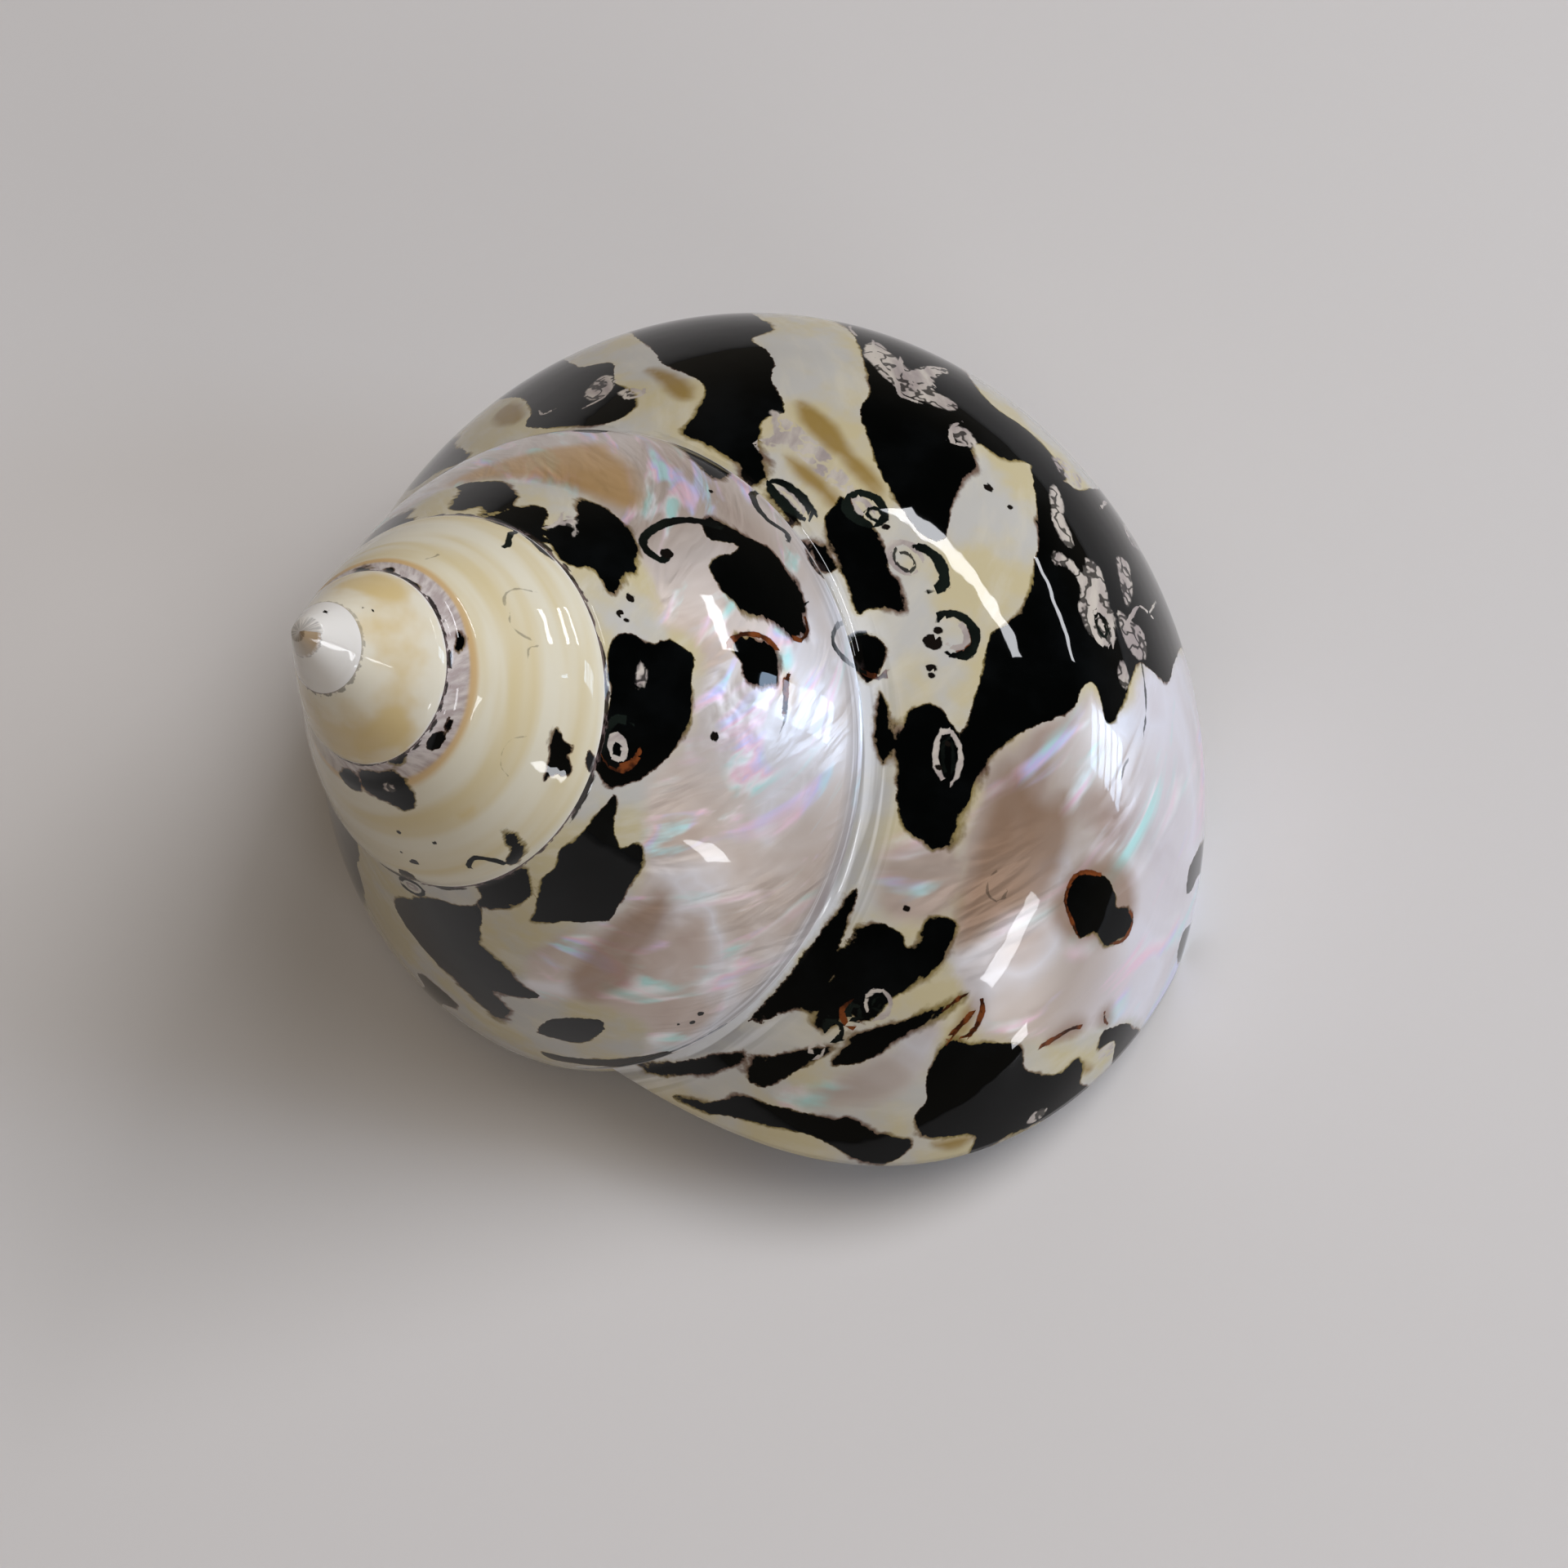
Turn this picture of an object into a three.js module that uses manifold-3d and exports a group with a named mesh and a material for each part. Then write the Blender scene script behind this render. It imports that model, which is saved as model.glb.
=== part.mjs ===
// Polished top shell: one coiled piece of shell, lying on its base with the tip up and to one side.
// Millimetres, +Z up, origin on the surface it lies on, under its middle.
import * as THREE from 'three';
import { ParametricGeometry } from 'three/addons/geometries/ParametricGeometry.js';
import { mergeGeometries, mergeVertices } from 'three/addons/utils/BufferGeometryUtils.js';
import Module from 'manifold-3d';

// Suture: the spiral line where each whorl meets the one before it, counted in turns from the tip
const SUTURE_RADIUS = 12;
const SUTURE_TURN = 3;
const TURN_GROWTH = 0.656;
const GROWTH_SLOWING = -0.041;
const SPIRE_HEIGHT = 1.473;
const SPIRE_POWER = 1.093;
const TIP_DEPTH = 0.06;

// Whorl side: how far its curve turns off the straight line between two sutures, in radians
const SPIRE_SWELL_TOP = 0.077;
const SPIRE_SWELL_END = 0.341;
const SPIRE_HANDLE = 0.272;
const TIP_SWELL_SHARE = 0.15;
const TIP_SWELL_TURNS = [0.3, 2.5];
const BODY_SWELL_TOP = 0.458;
const BODY_SWELL_END = 0.731;
const BODY_HANDLE = 0.52;
const BODY_DROOP = 0.072;
const BODY_SWELL_TURNS = 0.87;

// Base and umbilicus, the deep hole beside the columella, as shares of the whorl's size
const BASE_ROUND = 0.35;
const BASE_FALL = 0.05;
const BASE_ANGLE = 0.2;
const BASE_HANDLE = 0.45;
const UMBILICUS_SHARE = 0.16;
const UMBILICUS_WAIST = 0.325;
const UMBILICUS_TOP = 2.35;

// Lip: the turn where the shell ends, later at the suture than at the base
const LIP_TURN = 4.23;
const LIP_SWEEP = 0.15;
const LIP_NOTCH = 0.026;
const LIP_NOTCH_WIDTH = 0.12;

// Hollow behind the lip: how deep it is modelled, and the thickness of its walls
const HOLLOW_TURNS = 0.62;
const HOLLOW_CLOSING = 0.7;
const HOLLOW_SPACING = 1.5;
const LIP_WALL = 0.13;
const LIP_EDGE_SHARE = 0.55;
const INNER_WALL = 0.05;
const COLUMELLA_WALL = 0.2;
const COLUMELLA_FROM = 1.45;
const CORNER_WALL = 0.32;
const CORNER_WIDTH = 0.22;

// Pose: the axis leans from upright, and small flats are worn where the shell stands
const LEAN = THREE.MathUtils.degToRad(24.9);
const LEAN_AZIMUTH = THREE.MathUtils.degToRad(56.2);
const START_AZIMUTH = THREE.MathUtils.degToRad(6.5);
const FLAT_DEPTH = 0.8;
const CUTTER_SIZE = 120;

// The outline's curves, and how many of them the mouth's rim follows on its way back
const OUTLINE_CURVES = 3;
const RETURN_CURVES = 2;

// Fineness of the faceted surface
const STEPS_PER_TURN = 48;
const COILED_TURNS = 4.25;
const ROWS = 7;
const RINGS = 14;

const clamp = THREE.MathUtils.clamp;
const lerp = THREE.MathUtils.lerp;
const smooth = THREE.MathUtils.smoothstep;

// Radius and depth of the suture below the tip, in suture radii
function suture(turn) {
  const grown = turn - SUTURE_TURN;
  const radius = Math.exp(TURN_GROWTH * grown + GROWTH_SLOWING * grown ** 2);
  return new THREE.Vector2(radius, SPIRE_HEIGHT * radius ** SPIRE_POWER);
}

function step(from, angle, length) {
  return new THREE.Vector2(Math.cos(angle), Math.sin(angle)).multiplyScalar(length).add(from);
}

// The three curves of one whorl's outline: its side, its base and the wall of the umbilicus
function whorlOutline(turn) {
  const bodyStart = LIP_TURN - 1;
  const body = smooth(turn, bodyStart, bodyStart + BODY_SWELL_TURNS);
  const early = lerp(TIP_SWELL_SHARE, 1, smooth(turn, ...TIP_SWELL_TURNS));
  const top = suture(turn);
  const chord = suture(turn + 1).sub(top).rotateAround(new THREE.Vector2(), BODY_DROOP * body);
  const end = top.clone().add(chord);
  const length = chord.length();
  const leave = chord.angle() - early * lerp(SPIRE_SWELL_TOP, BODY_SWELL_TOP, body);
  const arrive = chord.angle() + early * lerp(SPIRE_SWELL_END, BODY_SWELL_END, body);
  const handle = length * lerp(SPIRE_HANDLE, BODY_HANDLE, body);
  const side = new THREE.CubicBezierCurve(top, step(top, leave, handle), step(end, arrive, -handle), end);

  const rim = new THREE.Vector2(UMBILICUS_SHARE * end.x, end.y + BASE_FALL * length);
  const reach = end.distanceTo(rim);
  const intoBase = step(end, arrive, BASE_ROUND * reach);
  const base = new THREE.CubicBezierCurve(end, intoBase, step(rim, BASE_ANGLE, BASE_HANDLE * reach), rim);

  const waist = new THREE.Vector2(UMBILICUS_WAIST * rim.x, (rim.y + UMBILICUS_TOP) / 2);
  const wall = new THREE.QuadraticBezierCurve(rim, waist, new THREE.Vector2(0, UMBILICUS_TOP));
  return { side, base, wall, rim };
}

// A point of the outside: across runs 0 to 1 down the side, to 2 over the base, to 3 up the umbilicus
function outsidePoint(turn, across) {
  const { side, base, wall } = whorlOutline(turn);
  if (across <= 1) return side.getPoint(across);
  if (across <= 2) return base.getPoint(across - 1);
  return wall.getPoint(across - 2);
}

// The middle of the whorl's tube, between its side, its base and the whorl before it
function tubeMiddle(turn) {
  const whorl = whorlOutline(turn);
  const before = whorlOutline(turn - 1);
  const middle = whorl.side.getPoint(0.5).add(whorl.base.getPoint(0.5)).add(before.base.getPoint(0.5));
  return middle.divideScalar(3);
}

// Turns a section point about the axis: the tip is up, and the coil winds clockwise seen from the tip
function aboutAxis(turn, section, target) {
  const angle = 2 * Math.PI * turn - START_AZIMUTH;
  target.set(section.x * Math.cos(angle), -section.x * Math.sin(angle), -section.y);
  return target.multiplyScalar(SUTURE_RADIUS);
}

function lipTurn(across) {
  const notch = LIP_NOTCH * (1 - Math.exp(-across / LIP_NOTCH_WIDTH));
  return LIP_TURN - LIP_SWEEP * Math.min(across, 2) - notch;
}

// Where the last whorl starts to show: below the suture it begins inside the aperture
function bodyStartTurn(across) {
  return LIP_TURN - 1 - (LIP_TURN - lipTurn(2)) * clamp(across - 1, 0, 1);
}

// Spire: the whorls between two sutures, closed over at the tip
function spireSurface(across, along, target) {
  const first = LIP_TURN - 1 - COILED_TURNS;
  const steps = Math.round(along * COILED_TURNS * STEPS_PER_TURN);
  const turn = first + steps / STEPS_PER_TURN;
  const atTip = steps === 0 || (across === 0 && steps <= STEPS_PER_TURN);
  const section = atTip ? new THREE.Vector2(0, TIP_DEPTH) : outsidePoint(turn, across);
  aboutAxis(turn, section, target);
}

// Body whorl: the last turn, from its side over the base into the umbilicus, ending at the lip
function bodySurface(acrossShare, along, target) {
  const across = OUTLINE_CURVES * acrossShare;
  const turn = lerp(bodyStartTurn(across), lipTurn(across), along);
  aboutAxis(turn, outsidePoint(turn, across), target);
}

// The rim of the mouth: out along the lip to the umbilicus, and back along the whorl before it
function mouthPlace(round) {
  const onLip = round <= OUTLINE_CURVES;
  const across = onLip ? round : 2 * OUTLINE_CURVES - round;
  const section = onLip ? lipTurn(across) : bodyStartTurn(across) + 1;
  const run = onLip ? across : 2 * (across - 1);
  return { onLip, across, section, run };
}

// Thickness of the shell at a place of the mouth's rim
function wallThickness({ onLip, run }) {
  const thin = onLip ? LIP_WALL : INNER_WALL;
  const atCorner = lerp(thin, CORNER_WALL, Math.exp(-((run / CORNER_WIDTH) ** 2)));
  return lerp(atCorner, COLUMELLA_WALL, smooth(run, COLUMELLA_FROM, 2));
}

// A point on the outline of the tube that the hollow follows, before the wall's thickness
function tubeOutline({ onLip, across }, turn) {
  if (across <= 2) return onLip ? outsidePoint(turn, across) : outsidePoint(turn - 1, across);
  const share = onLip ? (across - 2) / 2 : (4 - across) / 2;
  return whorlOutline(turn).rim.lerp(whorlOutline(turn - 1).rim, share);
}

// Hollow: from the lip's edge inwards along the tube, closing to a point deep inside
function hollowSurface(roundShare, inwards, target) {
  const place = mouthPlace((OUTLINE_CURVES + RETURN_CURVES) * roundShare);
  const ring = Math.round(inwards * RINGS);
  if (ring === 0) {
    const turn = place.onLip ? place.section : place.section - 1;
    aboutAxis(turn, outsidePoint(turn, place.across), target);
    return;
  }
  const share = ((ring - 1) / (RINGS - 1)) ** HOLLOW_SPACING;
  const closing = smooth(share, HOLLOW_CLOSING, 1);
  const middleSection = (LIP_TURN + lipTurn(2)) / 2;
  const turn = lerp(place.section, middleSection, closing) - share * HOLLOW_TURNS;
  const outline = tubeOutline(place, turn);
  const middle = tubeMiddle(turn);
  const scale = suture(turn).x / suture(LIP_TURN).x;
  const thickness = wallThickness(place) * scale * (ring === 1 ? LIP_EDGE_SHARE : 1);
  const inset = clamp(thickness / outline.distanceTo(middle), 0, 1);
  aboutAxis(turn, outline.lerp(middle, lerp(inset, 1, closing)), target);
}

// Joins the three surfaces along their shared edges into one closed geometry, its faces turned outwards
function joinSurfaces() {
  const coiledSteps = COILED_TURNS * STEPS_PER_TURN;
  const joined = mergeGeometries([
    new ParametricGeometry(spireSurface, ROWS, coiledSteps),
    new ParametricGeometry(bodySurface, OUTLINE_CURVES * ROWS, STEPS_PER_TURN),
    new ParametricGeometry(hollowSurface, (OUTLINE_CURVES + RETURN_CURVES) * ROWS, RINGS),
  ]);
  joined.deleteAttribute('normal');
  joined.deleteAttribute('uv');
  const welded = mergeVertices(joined);
  const corners = welded.index.array;
  const kept = [];
  for (let i = 0; i < corners.length; i += 3) {
    const [a, b, c] = corners.slice(i, i + 3);
    if (a !== b && b !== c && c !== a) kept.push(a, c, b);
  }
  welded.setIndex(kept);
  return welded;
}

// Leans the shell as it lies, centred over the origin, its lowest points just below the flats
function layDown(geometry) {
  const lean = new THREE.Vector3().setFromSphericalCoords(1, LEAN, 0);
  const up = new THREE.Vector3(lean.z, 0, lean.y).applyAxisAngle(new THREE.Vector3(0, 0, 1), LEAN_AZIMUTH);
  geometry.applyQuaternion(new THREE.Quaternion().setFromUnitVectors(up, new THREE.Vector3(0, 0, 1)));
  geometry.computeBoundingBox();
  const { min, max } = geometry.boundingBox;
  return geometry.translate(-(min.x + max.x) / 2, -(min.y + max.y) / 2, -min.z - FLAT_DEPTH);
}

const wasm = await Module();
wasm.setup();

function toSolid(geometry) {
  return new wasm.Manifold(new wasm.Mesh({
    numProp: 3,
    vertProperties: geometry.attributes.position.array,
    triVerts: Uint32Array.from(geometry.index.array),
  }));
}

function toGeometry(solid) {
  const { vertProperties, triVerts } = solid.getMesh();
  const geometry = new THREE.BufferGeometry();
  geometry.setAttribute('position', new THREE.BufferAttribute(vertProperties, 3));
  geometry.setIndex(new THREE.BufferAttribute(triVerts, 1));
  geometry.computeVertexNormals();
  return geometry;
}

function weldedBox(size) {
  const box = new THREE.BoxGeometry(size, size, size);
  box.deleteAttribute('normal');
  box.deleteAttribute('uv');
  return mergeVertices(box);
}

const belowFlats = weldedBox(CUTTER_SIZE).translate(0, 0, -CUTTER_SIZE / 2);
const shellSolid = toSolid(layDown(joinSurfaces())).subtract(toSolid(belowFlats));
const nacre = new THREE.MeshStandardMaterial({ color: 0xd9cfc6, roughness: 0.18, metalness: 0 });
const shell = new THREE.Mesh(toGeometry(shellSolid), nacre);
shell.name = 'shell';

const topShell = new THREE.Group();
topShell.add(shell);
export default topShell;
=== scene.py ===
import bpy
import numpy as np
from mathutils import Matrix, Quaternion, Vector


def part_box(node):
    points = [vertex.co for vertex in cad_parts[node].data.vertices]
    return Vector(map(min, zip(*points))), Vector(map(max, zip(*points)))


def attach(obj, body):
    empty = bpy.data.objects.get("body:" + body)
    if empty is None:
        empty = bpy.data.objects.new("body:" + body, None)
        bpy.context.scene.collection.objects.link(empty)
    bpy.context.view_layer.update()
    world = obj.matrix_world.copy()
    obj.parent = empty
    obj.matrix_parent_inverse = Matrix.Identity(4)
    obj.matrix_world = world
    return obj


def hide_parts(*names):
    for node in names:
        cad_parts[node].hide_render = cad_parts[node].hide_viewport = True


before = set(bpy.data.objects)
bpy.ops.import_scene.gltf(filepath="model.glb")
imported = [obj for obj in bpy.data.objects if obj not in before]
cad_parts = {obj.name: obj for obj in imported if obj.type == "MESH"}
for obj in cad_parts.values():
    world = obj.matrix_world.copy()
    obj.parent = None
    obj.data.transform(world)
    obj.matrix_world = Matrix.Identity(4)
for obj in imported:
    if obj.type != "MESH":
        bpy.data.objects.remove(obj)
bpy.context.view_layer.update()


# The shell: a polished West Indian top shell, one piece of grown aragonite. The snail laid it down at
# the lip, turn after turn, as a black and cream outer layer over mother-of-pearl, and the maker ground
# and buffed it until the outer layer was thin and the pearl showed through in patches.
SUTURE_RADIUS = 0.012
SUTURE_TURN = 3.0
TURN_GROWTH, GROWTH_SLOWING = 0.656, -0.041
SPIRE_HEIGHT, SPIRE_POWER = 1.473, 1.093
TIP_DEPTH = 0.06
SPIRE_SWELL = (0.077, 0.341)
BODY_SWELL = (0.458, 0.731)
SPIRE_HANDLE, BODY_HANDLE = 0.272, 0.52
TIP_SWELL_SHARE = 0.15
TIP_SWELL_TURNS = (0.3, 2.5)
BODY_DROOP, BODY_SWELL_TURNS = 0.072, 0.87
BASE_ROUND, BASE_FALL, BASE_ANGLE, BASE_HANDLE = 0.35, 0.05, 0.2, 0.45
UMBILICUS_SHARE, UMBILICUS_PINCH, UMBILICUS_TOP = 0.16, 0.35, 2.35
LIP_TURN, LIP_SWEEP = 4.23, 0.15
LIP_NOTCH, LIP_NOTCH_WIDTH = 0.026, 0.12
SHOULDER_DEPTH, SHOULDER_FROM, SHOULDER_TO, SHOULDER_TURNS = 0.016, 0.13, 0.2, (1.3, 1.6, 2.35, 2.6)
CHANNEL_EDGE = 0.05
SUTURE_ROLL, SUTURE_ROLL_FROM, SUTURE_ROLL_TO = 0.012, 0.72, 0.9
ROLL_START_TURNS, ROLL_FADE = (-0.4, 0.2), 0.6
BODY_START = LIP_TURN - 1


def smooth(value, low, high):
    """Zero below low, one above high, and the cubic 3x^2 - 2x^3 between them."""
    x = np.clip((value - low) / (high - low), 0, 1)
    return x * x * (3 - 2 * x)


def suture(turn):
    """Radius e^(growth g + slowing g^2), with g the turns past the third, and depth height r^power."""
    grown = turn - SUTURE_TURN
    radius = np.exp(TURN_GROWTH * grown + GROWTH_SLOWING * grown**2)
    return radius, SPIRE_HEIGHT * radius**SPIRE_POWER


def bezier(start, leave, arrive, end, share):
    """The cubic curve through start and end, drawn towards the two points between them."""
    rest = 1 - share
    return (rest**3 * start + 3 * rest**2 * share * leave
            + 3 * rest * share**2 * arrive + share**3 * end)


def relief(turn, across, radius):
    """Height on the whorl's side: a shallow channel under the suture of the middle whorls, ending in a low
    shoulder, and a slight roll above the next suture. It is nought at both sutures."""
    start, full, fade, end = SHOULDER_TURNS
    channel = smooth(across, 0, CHANNEL_EDGE) * (1 - smooth(across, SHOULDER_FROM, SHOULDER_TO))
    channel = channel * smooth(turn, start, full) * (1 - smooth(turn, fade, end))
    roll = smooth(across, SUTURE_ROLL_FROM, SUTURE_ROLL_TO) * (1 - smooth(across, SUTURE_ROLL_TO, 1))
    roll = roll * smooth(turn, *ROLL_START_TURNS) * (1 - smooth(turn, BODY_START - ROLL_FADE, BODY_START))
    return (SUTURE_ROLL * roll - SHOULDER_DEPTH * channel) * np.minimum(2 * radius, 1)


def whorl(turn, across):
    """Radius and depth of the outside in suture radii: across runs 0 to 1 down the whorl's side from one
    suture to the next, to 2 over the base to the umbilicus, and to 3 up the umbilicus to the axis."""
    top_r, top_z = suture(turn)
    end_r, end_z = suture(turn + 1)
    body = smooth(turn, BODY_START, BODY_START + BODY_SWELL_TURNS)
    early = TIP_SWELL_SHARE + (1 - TIP_SWELL_SHARE) * smooth(turn, *TIP_SWELL_TURNS)
    length = np.hypot(end_r - top_r, end_z - top_z)
    chord = np.arctan2(end_z - top_z, end_r - top_r) + BODY_DROOP * body
    end_r = top_r + length * np.cos(chord)
    end_z = top_z + length * np.sin(chord)
    leave = chord - early * (SPIRE_SWELL[0] + (BODY_SWELL[0] - SPIRE_SWELL[0]) * body)
    arrive = chord + early * (SPIRE_SWELL[1] + (BODY_SWELL[1] - SPIRE_SWELL[1]) * body)
    handle = length * (SPIRE_HANDLE + (BODY_HANDLE - SPIRE_HANDLE) * body)
    share = np.clip(across, 0, 1)
    side_r = bezier(top_r, top_r + handle * np.cos(leave), end_r - handle * np.cos(arrive), end_r, share)
    side_z = bezier(top_z, top_z + handle * np.sin(leave), end_z - handle * np.sin(arrive), end_z, share)

    height = relief(turn, share, top_r)
    side_r, side_z = side_r + height * np.sin(chord), side_z - height * np.cos(chord)

    rim_r, rim_z = UMBILICUS_SHARE * end_r, end_z + BASE_FALL * length
    reach = np.hypot(end_r - rim_r, end_z - rim_z)
    into, out = BASE_ROUND * reach, BASE_HANDLE * reach
    share = np.clip(across - 1, 0, 1)
    base_r = bezier(end_r, end_r + into * np.cos(arrive), rim_r + out * np.cos(BASE_ANGLE), rim_r, share)
    base_z = bezier(end_z, end_z + into * np.sin(arrive), rim_z + out * np.sin(BASE_ANGLE), rim_z, share)

    share = np.clip(across - 2, 0, 1)
    wall_r = rim_r * (1 - share) * (1 - UMBILICUS_PINCH * share)
    wall_z = rim_z + (UMBILICUS_TOP - rim_z) * share
    radius = np.where(across <= 1, side_r, np.where(across <= 2, base_r, wall_r))
    depth = np.where(across <= 1, side_z, np.where(across <= 2, base_z, wall_z))
    return radius, depth


def lip_turn(across):
    """The turn where the shell ends: sweeping back evenly from the suture, with a quick notch at the top."""
    notch = LIP_NOTCH * (1 - np.exp(-across / LIP_NOTCH_WIDTH))
    return LIP_TURN - LIP_SWEEP * np.minimum(across, 2) - notch


def body_start_turn(across):
    """The turn where the last whorl comes out from under its own lip."""
    return BODY_START - (LIP_TURN - lip_turn(2.0)) * np.clip(across - 1, 0, 1)


# Pose: the axis leans over towards the lip, and the shell stands on its base. The fine surface is set
# on the solid's own box, and its lowest places are worn flat like the solid's.
LEAN, LEAN_AZIMUTH = np.radians(24.9), np.radians(56.2)
START_AZIMUTH = np.radians(6.5)


def upright_turn():
    """The rotation that takes the leaning axis to the vertical, by Rodrigues' formula."""
    up = np.array([np.sin(LEAN) * np.cos(LEAN_AZIMUTH), np.sin(LEAN) * np.sin(LEAN_AZIMUTH), np.cos(LEAN)])
    hinge = np.cross(up, [0, 0, 1]) / np.sin(LEAN)
    skew = np.cross(np.eye(3), hinge)
    return np.eye(3) + np.sin(LEAN) * skew + (1 - np.cos(LEAN)) * skew @ skew


def leaned(points):
    """Points of the growing shell, tip at the origin and depth downwards, in suture radii, to metres."""
    return SUTURE_RADIUS * (points * [1, -1, -1]) @ upright_turn().T


def about_axis(turn, radius, depth):
    """Turns a section's radius and depth about the shell's axis."""
    angle = 2 * np.pi * turn - START_AZIMUTH
    return leaned(np.stack([radius * np.cos(angle), radius * np.sin(angle), depth + 0 * angle], -1))


# Surface grids: the spire's whorls, the last whorl with its base and umbilicus, and the hollow behind the
# lip. Each is one sheet of turn by across, and they share the columns where they are welded.
STEPS_PER_TURN = 400
SPIRE_TURNS = 4.25
TIP_ROWS, SPIRE_ROWS, SIDE_ROWS, BASE_ROWS, UMBILICUS_ROWS = 16, 32, 64, 28, 6
RINGS = 36
HOLLOW_TURNS, HOLLOW_CLOSING, HOLLOW_SPACING = 0.62, 0.7, 1.5
LIP_WALL, INNER_WALL, COLUMELLA_WALL, CORNER_WALL = 0.13, 0.05, 0.2, 0.32
LIP_EDGE_SHARE, CORNER_WIDTH, COLUMELLA_FROM, DEEPEST_INSET = 0.55, 0.22, 1.45, 0.9
TOLERANCE = 1e-9


def coil_sheet(first, last, rows):
    """A strip of whorl side between two turns, pinched to the tip over its first turn."""
    steps = np.arange(round((last - first) * STEPS_PER_TURN) + 1)
    turn, across = np.meshgrid(last + (steps - steps[-1]) / STEPS_PER_TURN, np.linspace(0, 1, rows + 1),
                               indexing="ij")
    radius, depth = whorl(turn, across)
    tip_turn = BODY_START - SPIRE_TURNS
    pinched = (turn <= tip_turn + TOLERANCE) | ((across == 0) & (turn <= tip_turn + 1 + TOLERANCE))
    radius, depth = np.where(pinched, 0, radius), np.where(pinched, TIP_DEPTH, depth)
    return about_axis(turn, radius, depth), turn, across


def body_sheet():
    """The last turn: every row runs from where it comes out from under the lip to the lip itself."""
    rows = np.concatenate([np.linspace(0, 1, SIDE_ROWS + 1), np.linspace(1, 2, BASE_ROWS + 1)[1:],
                           np.linspace(2, 3, UMBILICUS_ROWS + 1)[1:]])
    along = np.linspace(0, 1, STEPS_PER_TURN + 1)[:, None]
    across = rows[None] + 0 * along
    turn = body_start_turn(across) + along * (lip_turn(across) - body_start_turn(across))
    return about_axis(turn, *whorl(turn, across)), turn, across


def hollow_sheet(body_points, body_across):
    """Rings from the lip's edge inwards along the tube: each point of the whorl's outline moves towards
    the tube's middle by the wall's thickness, and over the last part the rings close to a point."""
    rows = body_across[0]
    under = rows[rows >= 1][::-1][1:]
    across = np.concatenate([rows, under])
    on_lip = np.arange(len(across)) < len(rows)
    edge = np.concatenate([body_points[-1], body_points[0][rows >= 1][::-1][1:]])
    section = np.where(on_lip, lip_turn(across), body_start_turn(across) + 1)
    run = np.where(on_lip, across, 2 * (across - 1))
    thin = np.where(on_lip, LIP_WALL, INNER_WALL)
    wall = thin + (CORNER_WALL - thin) * np.exp(-((run / CORNER_WIDTH) ** 2))
    wall = wall + (COLUMELLA_WALL - wall) * smooth(run, COLUMELLA_FROM, 2)

    share = np.linspace(0, 1, RINGS)[:, None] ** HOLLOW_SPACING
    closing = smooth(share, HOLLOW_CLOSING, 1)
    middle_section = (LIP_TURN + lip_turn(2.0)) / 2
    turn = section + (middle_section - section) * closing - share * HOLLOW_TURNS
    outer = np.stack(whorl(turn, np.minimum(across, 2) + 0 * turn))
    inner = np.stack(whorl(turn - 1, np.clip(across, 1, 2) + 0 * turn))
    outline = np.where(on_lip, outer, inner)
    rim = np.stack(whorl(turn, 2 + 0 * turn))
    rim_before = np.stack(whorl(turn - 1, 2 + 0 * turn))
    blend = np.where(on_lip, (across - 2) / 2, (4 - across) / 2)
    outline = np.where(across > 2, rim + (rim_before - rim) * blend, outline)
    half = 0.5 + 0 * turn
    middle = (np.stack(whorl(turn, half)) + np.stack(whorl(turn, 1 + half))
              + np.stack(whorl(turn - 1, 1 + half))) / 3
    scale = suture(turn)[0] / suture(LIP_TURN)[0]
    scale = scale * np.where(np.arange(RINGS)[:, None] == 0, LIP_EDGE_SHARE, 1)
    inset = np.clip(wall * scale / np.hypot(*(middle - outline)), 0, DEEPEST_INSET)
    inset = inset + (1 - inset) * closing
    points = about_axis(turn, *(outline + (middle - outline) * inset))
    points = np.concatenate([edge[None], points])
    ring_turn = np.concatenate([section[None], turn])
    return points, ring_turn, across[None] + 0 * ring_turn


def sheet_faces(shape, start):
    """Four corners for each cell of a grid, in the order that faces outwards."""
    rows, columns = np.meshgrid(np.arange(shape[0] - 1), np.arange(shape[1] - 1), indexing="ij")
    corner = (rows * shape[1] + columns).ravel() + start
    return np.stack([corner, corner + shape[1], corner + shape[1] + 1, corner + 1], 1)


def zip_faces(shape, start, fine_start):
    """The last column of cells of a grid, joined to a column of twice as many rows: each cell becomes a quad
    and a triangle, the triangle written as a quad with its last corner doubled."""
    low = start + (shape[0] - 2) * shape[1] + np.arange(shape[1] - 1)
    fine = fine_start + 2 * np.arange(shape[1] - 1)
    quads = np.stack([low, fine + 1, fine + 2, low + 1], 1)
    return np.concatenate([quads, np.stack([low, fine, fine + 1, fine + 1], 1)])


tip_sheet = coil_sheet(BODY_START - SPIRE_TURNS, BODY_START - 2, TIP_ROWS)
spire_sheet = coil_sheet(BODY_START - 2, BODY_START, SPIRE_ROWS)
last_sheet = body_sheet()
hollow = hollow_sheet(last_sheet[0], last_sheet[2])
sheets = [tip_sheet, spire_sheet, last_sheet, hollow]
points = np.concatenate([sheet[0].reshape(-1, 3) for sheet in sheets])
turns = np.concatenate([sheet[1].ravel() for sheet in sheets])
acrosses = np.concatenate([sheet[2].ravel() for sheet in sheets])
starts = np.cumsum([0] + [sheet[1].size for sheet in sheets])
zipped = [zip_faces(sheet[1].shape, starts[at], starts[at + 1]) for at, sheet in enumerate(sheets[:2])]
kept = [(sheet[1].shape[0] - (at < 2), sheet[1].shape[1]) for at, sheet in enumerate(sheets)]
faces = np.concatenate([sheet_faces(shape, start) for shape, start in zip(kept, starts)] + zipped)
inside = (np.arange(len(points)) >= starts[3]).astype(float)
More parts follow.
